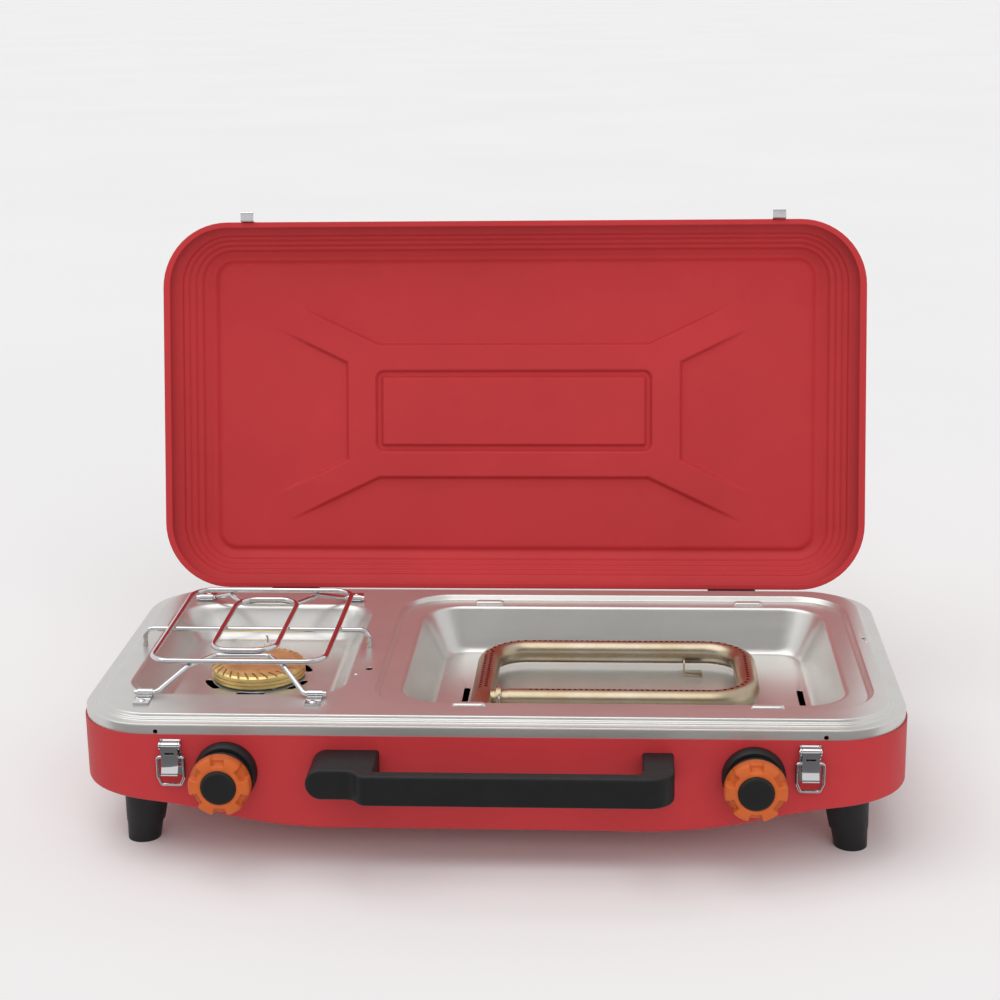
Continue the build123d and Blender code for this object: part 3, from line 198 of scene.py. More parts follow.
class StoveColours(bpy.types.PropertyGroup):
    """Base colours of the stove's finishes."""

    red: colour_setting("Red coat", "Powder coat of the casing and the lid", (0.50, 0.037, 0.042))
    steel: colour_setting("Stainless sheet", "Brushed sheet of the deck", (0.63, 0.625, 0.60))
    burnt_steel: colour_setting("Tempered steel", "Tube of the loop burner", (0.45, 0.395, 0.31))
    chrome: colour_setting("Chrome", "Wire of the trivet and the latches", (0.66, 0.66, 0.67))
    zinc: colour_setting("Zinc", "Screws, rivets and cast cup", (0.55, 0.56, 0.55))
    brass: colour_setting("Brass", "Burner cap and gas fittings", (0.84, 0.64, 0.28))
    black: colour_setting("Black plastic", "Handle, feet, bezels and knob cores", (0.0105, 0.011, 0.012))
    orange: colour_setting("Orange plastic", "Grips of the knobs", (0.57, 0.115, 0.021))
    # Painted shade: near-black walls of the gas ports, dark as the shade in the holes
    port_shade: colour_setting("Port shade", "Inside of the gas ports", (0.012, 0.010, 0.009))
    # Painted shade: the hinges are coloured as dark as the shadowed slot under the lid's hem
    hinge_shade_colour: colour_setting("Hinge shade", "Hinges painted dark as shade", (0.085, 0.08, 0.078))
    ceramic: colour_setting("Ceramic", "Electrode insulators", (0.84, 0.83, 0.79))
    floor: colour_setting("Floor", "Plain floor under the stove", (0.93, 0.925, 0.93))


def sizes():
    return bpy.context.scene.stove_sizes


def colours():
    return bpy.context.scene.stove_colours


# Shapes shared by the pieces

def rounded_loop(width, depth, corner, middle=(0.0, 0.0)):
    """Points of a rounded rectangle, anticlockwise seen from above."""
    steps = sizes().corner_steps
    points = []
    for quarter, (right, back) in enumerate(((1, -1), (1, 1), (-1, 1), (-1, -1))):
        x = middle[0] + right * (width / 2 - corner)
        y = middle[1] + back * (depth / 2 - corner)
        for step in range(steps + 1):
            angle = (quarter - 1 + step / steps) * pi / 2
            points.append((x + corner * cos(angle), y + corner * sin(angle)))
    return points


def softened(points, bends, steps=4):
    """A profile whose inner corners are rounded, each by a short curve of its own reach."""
    corners = [Vector(point) for point in points]
    soft = [corners[0]]
    for before, corner, after, bend in zip(corners, corners[1:], corners[2:], bends):
        start = corner + (before - corner).normalized() * min(bend, (before - corner).length * 0.48)
        end = corner + (after - corner).normalized() * min(bend, (after - corner).length * 0.48)
        for step in range(steps + 1):
            t = step / steps
            soft.append(start.lerp(corner, t).lerp(corner.lerp(end, t), t))
    soft.append(corners[-1])
    return soft


def pressed_rings(size, profile, middle=(0.0, 0.0)):
    """Closed rings from a profile of inset, height and corner radius."""
    rings = []
    for inset, height, corner in profile:
        loop = rounded_loop(size[0] - 2 * inset, size[1] - 2 * inset, corner, middle)
        rings.append([(x, y, height) for x, y in loop])
    return rings


def skin(bm, rings, looped=False):
    """Quads between neighbouring rings, also from the last to the first if looped. Gives the vertices."""
    loops = [[bm.verts.new(point) for point in ring] for ring in rings]
    count = len(loops[0])
    for low, high in zip(loops, loops[1:] + loops[:1] if looped else loops[1:]):
        for here in range(count):
            after = (here + 1) % count
            bm.faces.new((low[here], low[after], high[after], high[here]))
    return loops


def circle(x, y, radius, steps=24):
    angles = [2 * pi * step / steps for step in range(steps)]
    return [(x + radius * cos(angle), y + radius * sin(angle)) for angle in angles]


def arc_slot(middle, radius, width, start, sweep, steps=10, end_steps=6):
    """Outline of a slot bent round a middle, with round ends."""
    half = width / 2
    points = []
    for reach, begin, turned in ((half, start, sweep), (-half, start + sweep, -sweep)):
        for step in range(steps + 1):
            angle = radians(begin + turned * step / steps)
            away = radius + reach
            points.append((middle[0] + away * cos(angle), middle[1] + away * sin(angle)))
        for step in range(1, end_steps):
            turn = angle + pi * step / end_steps
            x = middle[0] + radius * cos(angle) + reach * cos(turn)
            points.append((x, middle[1] + radius * sin(angle) + reach * sin(turn)))
    return points


def level_loop(bm, points, height):
    return [bm.verts.new((x, y, height)) for x, y in points]


def fill_flat(bm, loops, up=1):
    """Fills the flat field between an outer loop and the holes in it."""
    corners = []
    edges = []
    for loop in loops:
        first = len(corners)
        corners += loop
        edges += [(first + i, first + (i + 1) % len(loop)) for i in range(len(loop))]
    places = [Vector((corner.co.x, corner.co.y)) for corner in corners]
    holes = [[(corner.co.x, corner.co.y) for corner in loop] for loop in loops[1:]]
    filled = delaunay_2d_cdt(places, edges, [], 1, 1e-7)
    for face in filled[2]:
        around = [corners[filled[3][index][0]] for index in face]
        middle = sum((corner.co for corner in around), Vector()) / len(around)
        if all(distance_inside(middle.x, middle.y, hole) < 0 for hole in holes):
            bm.faces.new(around if up > 0 else reversed(around))


def finished(bm, name, body, material, replaced=()):
    """Makes a piece of the mesh, rides it on its body and gives it its finish."""
    mesh = bpy.data.meshes.new(name)
    bm.to_mesh(mesh)
    bm.free()
    mesh.polygons.foreach_set("use_smooth", [True] * len(mesh.polygons))
    piece = bpy.data.objects.new(name, mesh)
    bpy.context.scene.collection.objects.link(piece)
    mesh.materials.append(material)
    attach(piece, body)
    if replaced:
        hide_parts(*replaced)
    return piece


def even_normals(piece):
    """Lets flat fields shade flat beside their bends."""
    modifier = piece.modifiers.new("Even normals", "WEIGHTED_NORMAL")
    modifier.weight = 60
    modifier.keep_sharp = True


def thicken(piece, sheet):
    """Gives a pressed skin its sheet thickness, below or behind its face."""
    modifier = piece.modifiers.new("Sheet", "SOLIDIFY")
    modifier.thickness = sheet
    modifier.offset = -1
    modifier.use_even_offset = True


def soften_node(name, material, reach, steps=2):
    """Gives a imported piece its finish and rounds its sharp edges."""
    node = frame["nodes"][name]
    node.data.materials.clear()
    node.data.materials.append(material)
    node.data.polygons.foreach_set("use_smooth", [True] * len(node.data.polygons))
    weld = node.modifiers.new("Weld", "WELD")
    weld.merge_threshold = 0.01 * mm
    flat = node.modifiers.new("Flat fields", "DECIMATE")
    flat.decimate_type = "DISSOLVE"
    flat.angle_limit = radians(1.0)
    if reach:
        bevel = node.modifiers.new("Soft edges", "BEVEL")
        bevel.width = reach
        bevel.segments = steps
        bevel.limit_method = "ANGLE"
        bevel.angle_limit = radians(32)
    even_normals(node)


# Finishes

def new_finish(name):
    """An empty material with its principled shader and its tools for adding nodes."""
    material = bpy.data.materials.new(name)
    material.use_nodes = True
    shader = material.node_tree.nodes["Principled BSDF"]
    return material, material.node_tree, shader


def object_place(tree, stretch=(1, 1, 1)):
    """Places on the piece itself, stretched along some axes."""
    coordinates = tree.nodes.new("ShaderNodeTexCoord")
    mapping = tree.nodes.new("ShaderNodeMapping")
    mapping.inputs["Scale"].default_value = stretch
    tree.links.new(coordinates.outputs["Object"], mapping.inputs["Vector"])
    return mapping.outputs["Vector"]


def noise(tree, place, scale, detail, rough):
    texture = tree.nodes.new("ShaderNodeTexNoise")
    texture.inputs["Scale"].default_value = scale
    texture.inputs["Detail"].default_value = detail
    texture.inputs["Roughness"].default_value = rough
    tree.links.new(place, texture.inputs["Vector"])
    return texture.outputs["Fac"]


def spread(tree, value, low, high):
    """A noise value spread between two numbers."""
    node = tree.nodes.new("ShaderNodeMapRange")
    node.inputs["From Min"].default_value = 0.3
    node.inputs["From Max"].default_value = 0.7
    node.inputs["To Min"].default_value = low
    node.inputs["To Max"].default_value = high
    tree.links.new(value, node.inputs["Value"])
    return node.outputs["Result"]


def blended(tree, value, first, second):
    """A colour between two, by a noise value."""
    node = tree.nodes.new("ShaderNodeValToRGB")
    node.color_ramp.elements[0].position = 0.32
    node.color_ramp.elements[1].position = 0.68
    node.color_ramp.elements[0].color = (*first, 1)
    node.color_ramp.elements[1].color = (*second, 1)
    tree.links.new(value, node.inputs["Fac"])
    return node.outputs["Color"]


def bumped(tree, shader, value, strength, distance):
    node = tree.nodes.new("ShaderNodeBump")
    node.inputs["Strength"].default_value = strength
    node.inputs["Distance"].default_value = distance
    tree.links.new(value, node.inputs["Height"])
    tree.links.new(node.outputs["Normal"], shader.inputs["Normal"])


def shade(colour, factor):
    return tuple(min(1.0, channel * factor) for channel in colour)


def red_coat():
    """Satin powder coat: fine orange peel and faint handling marks."""
    material, tree, shader = new_finish("red_powder_coat")
    place = object_place(tree)
    clouds = noise(tree, place, 9.0, 4.0, 0.6)
    base = colours().red
    tree.links.new(blended(tree, clouds, shade(base, 0.95), shade(base, 1.05)), shader.inputs["Base Color"])
    marks = noise(tree, place, 26.0, 5.0, 0.65)
    tree.links.new(spread(tree, marks, 0.44, 0.54), shader.inputs["Roughness"])
    shader.inputs["Specular IOR Level"].default_value = 0.22
    bumped(tree, shader, noise(tree, place, 1500.0, 2.0, 0.5), 0.10, 0.15 * mm)
    return material


def brushed_sheet():
    """Satin stainless sheet with a fine rolled grain along the stove."""
    material, tree, shader = new_finish("brushed_stainless")
    grain = noise(tree, object_place(tree, (14, 700, 220)), 1.0, 4.0, 0.6)
    clouds = noise(tree, object_place(tree), 14.0, 4.0, 0.6)
    base = colours().steel
    tree.links.new(blended(tree, clouds, shade(base, 0.96), shade(base, 1.04)), shader.inputs["Base Color"])
    shader.inputs["Metallic"].default_value = 0.70
    tree.links.new(spread(tree, grain, 0.28, 0.33), shader.inputs["Roughness"])
    bumped(tree, shader, grain, 0.02, 0.02 * mm)
    return material


def tempered_tube():
    """Burner tube, straw and brown where the flame heats it."""
    material, tree, shader = new_finish("tempered_stainless")
    place = object_place(tree)
    clouds = noise(tree, place, 22.0, 4.0, 0.65)
    base = colours().burnt_steel
    warm = (base[0] * 0.95, base[1] * 0.84, base[2] * 0.66)
    tree.links.new(blended(tree, clouds, shade(base, 1.12), warm), shader.inputs["Base Color"])
    shader.inputs["Metallic"].default_value = 1.0
    grain = noise(tree, place, 420.0, 3.0, 0.6)
    tree.links.new(spread(tree, grain, 0.30, 0.38), shader.inputs["Roughness"])
    bumped(tree, shader, grain, 0.03, 0.03 * mm)
    return material


def bright_metal(name, base, low, high, grain_scale):
    """Plated metal with slight waves in its gloss."""
    material, tree, shader = new_finish(name)
    place = object_place(tree)
    clouds = noise(tree, place, 40.0, 3.0, 0.6)
    tree.links.new(blended(tree, clouds, shade(base, 0.93), shade(base, 1.06)), shader.inputs["Base Color"])
    shader.inputs["Metallic"].default_value = 1.0
    grain = noise(tree, place, grain_scale, 3.0, 0.5)
    tree.links.new(spread(tree, grain, low, high), shader.inputs["Roughness"])
    bumped(tree, shader, grain, 0.05, 0.03 * mm)
    return material


def turned_brass():
    """Brass with fine turning marks round the burner's axis and darker stains."""
    material, tree, shader = new_finish("turned_brass")
    coordinates = tree.nodes.new("ShaderNodeTexCoord")
    mapping = tree.nodes.new("ShaderNodeMapping")
    mapping.inputs["Location"].default_value = (-burner_middle[0], -burner_middle[1], 0)
    tree.links.new(coordinates.outputs["Object"], mapping.inputs["Vector"])
    rings = tree.nodes.new("ShaderNodeTexWave")
    rings.wave_type = "RINGS"
    rings.rings_direction = "Z"
    rings.inputs["Scale"].default_value = 420.0
    rings.inputs["Distortion"].default_value = 1.2
    tree.links.new(mapping.outputs["Vector"], rings.inputs["Vector"])
    stains = noise(tree, object_place(tree), 60.0, 4.0, 0.65)
    base = colours().brass
    tree.links.new(blended(tree, stains, shade(base, 0.86), shade(base, 1.08)), shader.inputs["Base Color"])
    shader.inputs["Metallic"].default_value = 0.85
    tree.links.new(spread(tree, stains, 0.30, 0.42), shader.inputs["Roughness"])
    bumped(tree, shader, rings.outputs["Fac"], 0.06, 0.05 * mm)
    return material


def moulded_plastic(name, base, low, high, peel):
    """Moulded plastic with a fine spark-eroded grain."""
    material, tree, shader = new_finish(name)
    place = object_place(tree)
    clouds = noise(tree, place, 60.0, 3.0, 0.6)
    tree.links.new(blended(tree, clouds, shade(base, 0.92), shade(base, 1.08)), shader.inputs["Base Color"])
    tree.links.new(spread(tree, noise(tree, place, 180.0, 3.0, 0.6), low, high), shader.inputs["Roughness"])
    shader.inputs["Specular IOR Level"].default_value = 0.34
    bumped(tree, shader, noise(tree, place, 2600.0, 2.0, 0.5), peel, 0.10 * mm)
    return material


def glazed_ceramic():
    material, tree, shader = new_finish("glazed_ceramic")
    place = object_place(tree)
    specks = noise(tree, place, 320.0, 3.0, 0.6)
    base = colours().ceramic
    tree.links.new(blended(tree, specks, shade(base, 0.94), shade(base, 1.02)), shader.inputs["Base Color"])
    tree.links.new(spread(tree, specks, 0.16, 0.26), shader.inputs["Roughness"])
    return material


class Finishes:
    """The finishes, made once and shared by the pieces."""

    made = {}

    @classmethod
    def get(cls, name):
        palette = colours()
        makers = {
            "red": red_coat,
            "steel": brushed_sheet,
            "tempered": tempered_tube,
            "chrome": lambda: bright_metal("chrome_plate", palette.chrome, 0.05, 0.10, 160.0),
            "zinc": lambda: bright_metal("zinc_plate", palette.zinc, 0.26, 0.38, 300.0),
            "aluminium": lambda: bright_metal("cast_aluminium", palette.zinc, 0.38, 0.52, 700.0),
            "brass": turned_brass,
            "black": lambda: moulded_plastic("black_plastic", palette.black, 0.46, 0.60, 0.16),
            "orange": lambda: moulded_plastic("orange_plastic", palette.orange, 0.36, 0.48, 0.10),
            "ceramic": glazed_ceramic,
            # Painted shade on the walls of the gas ports
            "port_shade": lambda: moulded_plastic("port_painted_shade", palette.port_shade, 0.8, 0.9, 0.05),
            # Painted shade on the hinges, dark as their shadowed slot
            "hinge_shade": lambda: bright_metal("hinge_painted_shade", palette.hinge_shade_colour, 0.40, 0.52, 300.0),
            "rubber": lambda: moulded_plastic("lead_rubber", palette.black, 0.62, 0.74, 0.12),
        }
        if name not in cls.made:
            cls.made[name] = makers[name]()
        return cls.made[name]


# Pressed deck

def deck_rim(bm):
    """The skirt, the land under the lid's rim and the two steps up to the raised field."""
    size = (deck_high.x - deck_low.x, deck_high.y - deck_low.y)
    corner = casing_corner - deck_setback
    step = land + rim_step
    profile = [(0, land - skirt_drop, corner)]
    insets = (0, 6.7, 7.7, 9.8, 11.3, 13.6)
    for inset, level in zip(insets, (land, land, step, step, deck_top, deck_top)):
        profile.append((inset * mm, level, corner - inset * mm))
    bends = (1.3 * mm, 0.8 * mm, 0.8 * mm, 0.9 * mm, 1.0 * mm)
    return skin(bm, pressed_rings(size, softened(profile, bends)))[-1]


def well_walls(bm):
    """The well's step, its ledge and its sloping wall."""
    wall_top = ledge_inset + ledge_width
    wall_foot = wall_top + well_slope
    profile = [
        (-4 * mm, deck_top, 44 * mm),
        (0, deck_top, 40 * mm),
        (ledge_inset, ledge, 37 * mm),
        (wall_top, ledge, 32 * mm),
        (wall_foot, well_floor, 20 * mm),
        (wall_foot + 4.3 * mm, well_floor, 16 * mm),
    ]
    bends = (1.1 * mm, 1.0 * mm, 2.8 * mm, 6.5 * mm)
    return skin(bm, pressed_rings(well_size, softened(profile, bends, 5), well_middle))


def bowl_walls(bm):
    """The bowl's rounded edge and its sloping wall."""
    profile = [
        (-5 * mm, deck_top, 33 * mm),
        (0, deck_top, 28 * mm),
        (17 * mm, bowl_floor, 20 * mm),
        (26 * mm, bowl_floor, 13 * mm),
    ]
    return skin(bm, pressed_rings(bowl_size, softened(profile, (4.5 * mm, 7.0 * mm), 6), bowl_middle))


def bowl_bottom(bm, rim):
    """The bowl's floor with the burner's seat, the air slots and the electrode's hole."""
    holes = [circle(*burner_middle, burner_seat, 48)]
    for start in air_slot_starts:
        holes.append(arc_slot(burner_middle, air_ring, air_slot, start, air_slot_sweep))
    holes.append(circle(burner_middle[0], left_electrode_y, electrode_hole))
    fill_flat(bm, [rim] + [level_loop(bm, hole, bowl_floor) for hole in holes])


def well_bottom(bm, rim):
    """The well's floor with its two drain slots and the electrode's hole."""
    holes = []
    for x in (loop_left - 16 * mm, loop_right + 42 * mm):
        holes.append(rounded_loop(*drain_size, drain_corner, (x, well_middle[1] - 10 * mm)))
    holes.append(circle(loop_left + 13.5 * mm, loop_front - 14.5 * mm, electrode_hole))
    fill_flat(bm, [rim] + [level_loop(bm, hole, well_floor) for hole in holes])


def dome(bm, rings):
    """A small closed pressing, its foot sunk in the sheet."""
    loops = skin(bm, rings)
    fill_flat(bm, [loops[-1]])
    fill_flat(bm, [loops[0]], -1)


def ledge_bumps(bm):
    """Oblong pressings on the well's ledge, from inset, rise and corner radius."""
    out = well_size[1] / 2 - ledge_inset - ledge_width / 2
    profile = (
        (0, -0.3, 3.9), (0.1, 0.2, 3.8), (0.4, 1.2, 3.5), (1.0, 2.1, 2.9), (1.9, 2.5, 2.0), (3.0, 2.6, 0.9),
    )
    levels = [(inset * mm, ledge + rise * mm, corner * mm * 0.999) for inset, rise, corner in profile]
    for x in bump_places:
        for side in (-1, 1):
            dome(bm, pressed_rings(bump_size, levels, (x, well_middle[1] + side * out)))


def field_pips(bm):
    """Small round pressings on the raised field."""
    profile = ((1.8, -0.3), (1.7, 0.05), (1.3, 0.4), (0.7, 0.6), (0.2, 0.65))
    for x, y in deck_pips:
        rims = [(circle(x, y, radius * mm, 16), deck_top + rise * mm) for radius, rise in profile]
        dome(bm, [[(px, py, level) for px, py in rim] for rim, level in rims])


def deck_mesh():
    bm = bmesh.new()
    outer = deck_rim(bm)
    well = well_walls(bm)
    bowl = bowl_walls(bm)
    holes = [circle(*hole) for hole in deck_holes]
    fill_flat(bm, [outer, well[0], bowl[0]] + [level_loop(bm, hole, deck_top) for hole in holes])
    well_bottom(bm, well[-1])
    bowl_bottom(bm, bowl[-1])
    return bm


def pressings_mesh():
    bm = bmesh.new()
    ledge_bumps(bm)
    field_pips(bm)
    return bm


# Pressed lid, drawn shut and swung open by its hinge

def lid_swing():
    """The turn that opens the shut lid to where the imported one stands."""
    hinge = next(joint for joint in frame["joints"] if joint["name"] == "lid_hinge")
    place = Matrix.Translation(Vector(hinge["pos_m"]))
    turn = Matrix.Rotation(-radians(hinge["range_deg"][1]), 4, Vector(hinge["axis"]))
    return place @ turn @ place.inverted()


def lid_bends():
    """Inset and height of the bends of the lid's inner face, from the panel out to the wall."""
    steps = [(panel_edge + 6 * mm, panel_level), (panel_edge, panel_level), (38.3 * mm, 34.3 * mm)]
    inset, height = 29.9 * mm, 29.5 * mm
    for _ in range(terraces):
        steps += [(inset, height), (inset - 1.9 * mm, height - 3.1 * mm)]
        inset -= 5.3 * mm
        height -= 3.5 * mm
    steps[-1] = (13.4 * mm, 16 * mm)
    return steps + [(lid_sheet, 11.5 * mm)]


def lid_profile():
    """The whole section of the lid: inner face, hem and outer face."""
    inner = lid_bends()
    outer = [(max(inset - lid_sheet, 0.0), height + lid_sheet) for inset, height in reversed(inner[2:])]
    panel_back = panel_level + lid_sheet
    outer += [(panel_edge - 0.4 * mm, panel_back), (panel_edge + 6 * mm, panel_back)]
    hem = [(lid_sheet, 2.6 * mm), (6 * mm, 2.6 * mm), (6 * mm, 0.0), (0.0, 0.0)]
    points = inner + hem + outer
    folds = [1.7 * mm] * (2 * terraces)
    bends = [2.6 * mm, 3.2 * mm] + folds + [3.0 * mm]
    bends += [0.6 * mm, 1.2 * mm, 1.2 * mm, 0.9 * mm]
    bends += [3.5 * mm] + folds + [3.2 * mm, 2.6 * mm]
    return softened(points, bends)


def lid_rings():
    """The lid's section carried round it, less inset along its depth than along its width."""
    rings = []
    for inset, height in lid_profile():
        deep = max(inset - lid_sheet, 0.0)
        inset_y = min(inset, lid_sheet) + deep * depth_share
        corner = max(casing_corner - inset, panel_corner - max(inset - panel_edge, 0.0))
        loop = rounded_loop(casing_width - 2 * inset, casing_depth - 2 * inset_y, corner)
        rings.append([(x, y, lid_low + height) for x, y in loop])
    return rings


def star_outline():
    """The star pressing: a bar across the middle with four tips."""
    quarter = [(117, 58), (214, 104), (242, 89), (145, 42)]
    points = list(quarter)
    points += [(x, -y) for x, y in reversed(quarter)]
    points += [(-x, -y) for x, y in quarter]
    points += [(-x, y) for x, y in reversed(quarter)]
    return [(x * mm, y * mm) for x, y in points]


def distance_inside(x, y, outline):
    """Distance of a point from an outline, positive inside it."""
    nearest = 1.0
    inside = False
    for (ax, ay), (bx, by) in zip(outline, outline[1:] + outline[:1]):
        along = ((x - ax) * (bx - ax) + (y - ay) * (by - ay)) / ((bx - ax) ** 2 + (by - ay) ** 2)
        along = min(1.0, max(0.0, along))
        nearest = min(nearest, hypot(x - ax - along * (bx - ax), y - ay - along * (by - ay)))
        if (ay > y) != (by > y) and x < ax + (y - ay) * (bx - ax) / (by - ay):
            inside = not inside
    return nearest if inside else -nearest


def eased(value):
    """A share from 0 to 1 that starts and ends softly."""
    value = min(1.0, max(0.0, value))
    return value * value * (3 - 2 * value)


def star_height(x, y, outline):
    """Rise of the star pressing, which fades out towards its tips."""
    slope = sizes().star_slope
    edge = eased(distance_inside(x, y, outline) / slope + 0.5)
    along_tip = tip_way[0] * abs(x) + tip_way[1] * abs(y)
    fade = eased((tip_end - along_tip) / tip_fade)
    return sizes().star_rise * edge * fade


def frame_depth(x, y):
    """Depth of the groove round the middle field."""
    across = abs(x) - frame_half[0] + frame_corner
    along = abs(y) - frame_half[1] + frame_corner
    outside = hypot(max(across, 0.0), max(along, 0.0)) + min(max(across, along), 0.0) - frame_corner
    from_middle = abs(outside + frame_groove / 2)
    return sizes().frame_deep * eased((frame_groove / 2 + 0.5 * mm - from_middle) / frame_wall)


def spaced(half, count):
    """Places from one side of the panel to the other."""
    return [-half + 2 * half * index / count for index in range(count + 1)]


def panel_grid(bm, level, heights, up):
    """The pressed panel as a fine grid, and its boundary."""
    columns = len(heights[0]) - 1
    rows = len(heights) - 1
    xs = spaced(panel_half[0], columns)
    lattice = []
    for y, line in zip(spaced(panel_half[1], rows), heights):
        lattice.append([bm.verts.new((x, star_shift + y, level - rise)) for x, rise in zip(xs, line)])
    for near, far in zip(lattice, lattice[1:]):
        for column in range(columns):
            corners = [near[column], near[column + 1], far[column + 1], far[column]]
            bm.faces.new(corners if up > 0 else reversed(corners))
    right = [line[-1] for line in lattice[1:-1]]
    left = [line[0] for line in lattice[1:-1]]
    return lattice[0] + right + list(reversed(lattice[-1])) + list(reversed(left))


def panel_heights():
    """Rise of the pressed panel at each place of its grid."""
    cell = sizes().panel_cell
    columns, rows = (round(2 * half / cell) for half in panel_half)
    outline = star_outline()
    xs = spaced(panel_half[0], columns)
    heights = []
    for y in spaced(panel_half[1], rows):
        heights.append([star_height(x, y, outline) - frame_depth(x, y) for x in xs])
    return heights


def lid_mesh():
    bm = bmesh.new()
    loops = skin(bm, lid_rings())
    heights = panel_heights()
    inner = panel_grid(bm, lid_low + panel_level, heights, -1)
    outer = panel_grid(bm, lid_low + panel_level + lid_sheet, heights, 1)
    fill_flat(bm, [loops[0], inner], -1)
    fill_flat(bm, [loops[-1], outer], 1)
    bm.transform(lid_swing())
    return bm


# Loop burner's tube

def tube_path(step, bend_steps=16):
    """Places along the bent tube, from its mouth round to the collar, about one step apart."""
    corners = [(loop_left, loop_inlet), (loop_left, loop_rear), (loop_right, loop_rear),
               (loop_right, loop_front), (loop_left + loop_gap, loop_front)]
    path = [Vector(corners[0])]
    for before, corner, after in zip(corners, corners[1:], corners[2:]):
        corner = Vector(corner)
        into = (corner - Vector(before)).normalized()
        out = (Vector(after) - corner).normalized()
        start = corner - into * loop_bend
        path += straight_run(path[-1], start, step)
        middle = start + out * loop_bend
        for turn in range(1, bend_steps + 1):
            angle = turn / bend_steps * pi / 2
            path.append(middle - out * loop_bend * cos(angle) + into * loop_bend * sin(angle))
    path += straight_run(path[-1], Vector(corners[-1]), step)
    return path


def straight_run(start, end, step):
    count = max(1, round((end - start).length / step))
    return [start.lerp(end, i / count) for i in range(1, count + 1)]


def tube_ring(path, index, radius, sides=40):
    """A ring round the path, square to it."""
    before = path[max(index - 1, 0)]
    after = path[min(index + 1, len(path) - 1)]
    along = (after - before).normalized()
    across = Vector((along.y, -along.x))
    ring = []
    for side in range(sides):
        angle = 2 * pi * side / sides
        place = path[index] + across * (radius * cos(angle))
        ring.append((place.x, place.y, loop_level + radius * sin(angle)))
    return ring


def tube_mesh():
    """The tube's outside, rolled ends and bore as one closed skin, with the narrowed closing end."""
    bm = bmesh.new()
    path = tube_path(10 * mm)
    outer = loop_tube / 2
    bore = outer - loop_wall
    end = path[-1]
    for share in (0.1, 0.25, 1.0):
        path.append(end + Vector((0.7 * outer - loop_gap, 0)) * share)
    narrow = {len(path) - 3: 0.3 * mm, len(path) - 2: 0.7 * mm, len(path) - 1: 0.7 * mm}
    count = len(path)
    rings = [tube_ring(path, i, outer - narrow.get(i, 0.0)) for i in range(count)]
    rings += [tube_ring(path, i, bore - narrow.get(i, 0.0)) for i in reversed(range(count))]
    skin(bm, rings, looped=True)
    bmesh.ops.recalc_face_normals(bm, faces=bm.faces)
    return bm


def port_places():
    """Gas ports along the crest of the tube: two staggered rows on the left run, one on the rest."""
    pitch = sizes().port_pitch
    path = tube_path(pitch)
    places = []
    for before, here in zip(path, path[1:]):
        along = (here - before).normalized()
        across = Vector((along.y, -along.x))
        if here.x < loop_left + 1 * mm and here.y > loop_front + 6 * mm:
            places += [here + across * port_row, here - along * (pitch / 2) - across * port_row]
        elif here.x > loop_left + 1 * mm and (here - path[-1]).length > port_free_end:
            places.append(here)
    kept = []
    for place in places:
        if all((place - other).length > 0.8 * pitch for other in kept):
            kept.append(place)
    return kept


def port_pins():
    """Pins that cut the gas ports."""
    bm = bmesh.new()
    for place in port_places():
        rim = circle(place.x, place.y, sizes().port_width / 2, 10)
        pin(bm, [[(x, y, loop_level + level) for x, y in rim] for level in (4 * mm, 12 * mm)])
    return bm


def skirt_pins():
    """Pins that cut the two screw holes in the front of the skirt."""
    bm = bmesh.new()
    for side in (-1, 1):
        rim = circle(side * skirt_hole_x, land - skirt_hole_below, skirt_hole_radius, 20)
        pin(bm, [[(x, y, z) for x, z in rim] for y in (deck_low.y + 6 * mm, deck_low.y - 4 * mm)])
    return bm


def pin(bm, rings):
    """A closed pin between two rings."""
    loops = skin(bm, rings)
    bm.faces.new(reversed(loops[0]))
    bm.faces.new(loops[1])


def cut(piece, bm, finish):
    """Cuts pins out of a piece for good and gives the cut its own finish."""
    mesh = bpy.data.meshes.new("pins")
    bm.to_mesh(mesh)
    bm.free()
    mesh.materials.append(finish)
    pins = bpy.data.objects.new("pins", mesh)
    bpy.context.scene.collection.objects.link(pins)
    bore = piece.modifiers.new("Bore", "BOOLEAN")
    bore.operation = "DIFFERENCE"
    bore.solver = "EXACT"
    bore.material_mode = "TRANSFER"
    bore.object = pins
    shown = piece.evaluated_get(bpy.context.evaluated_depsgraph_get())
    bored = bpy.data.meshes.new_from_object(shown)
    piece.modifiers.clear()
    piece.data = bored
    bpy.data.objects.remove(pins)


# Stay of the loop burner and grips of the knobs

def stay_mesh():
    """A strip bent to an upright under the tube and a foot on the well's floor."""
    low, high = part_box("loop_bracket")
    x, z = low.x + stay_gauge, low.z + stay_gauge
    outline = [(low.x, low.z), (high.x, low.z), (high.x, z), (x, z), (x, high.z), (low.x, high.z)]
    bm = bmesh.new()
    near, far = skin(bm, [[(x, y, z) for x, z in outline] for y in (high.y - stay_width, high.y)])
    for loop in (near, far):
        for corners in ((0, 1, 2, 3), (0, 3, 4, 5)):
            bm.faces.new([loop[index] for index in corners])
    bmesh.ops.recalc_face_normals(bm, faces=bm.faces)
    return bm


def notch_share(angle):
    """How far a place round the grip lies in one of its six notches."""
    turn = pi / 3
    away = abs((angle - pi / 2 + turn / 2) % turn - turn / 2) * notch_middle
    return eased((notch_width / 2 - away) / notch_slope)


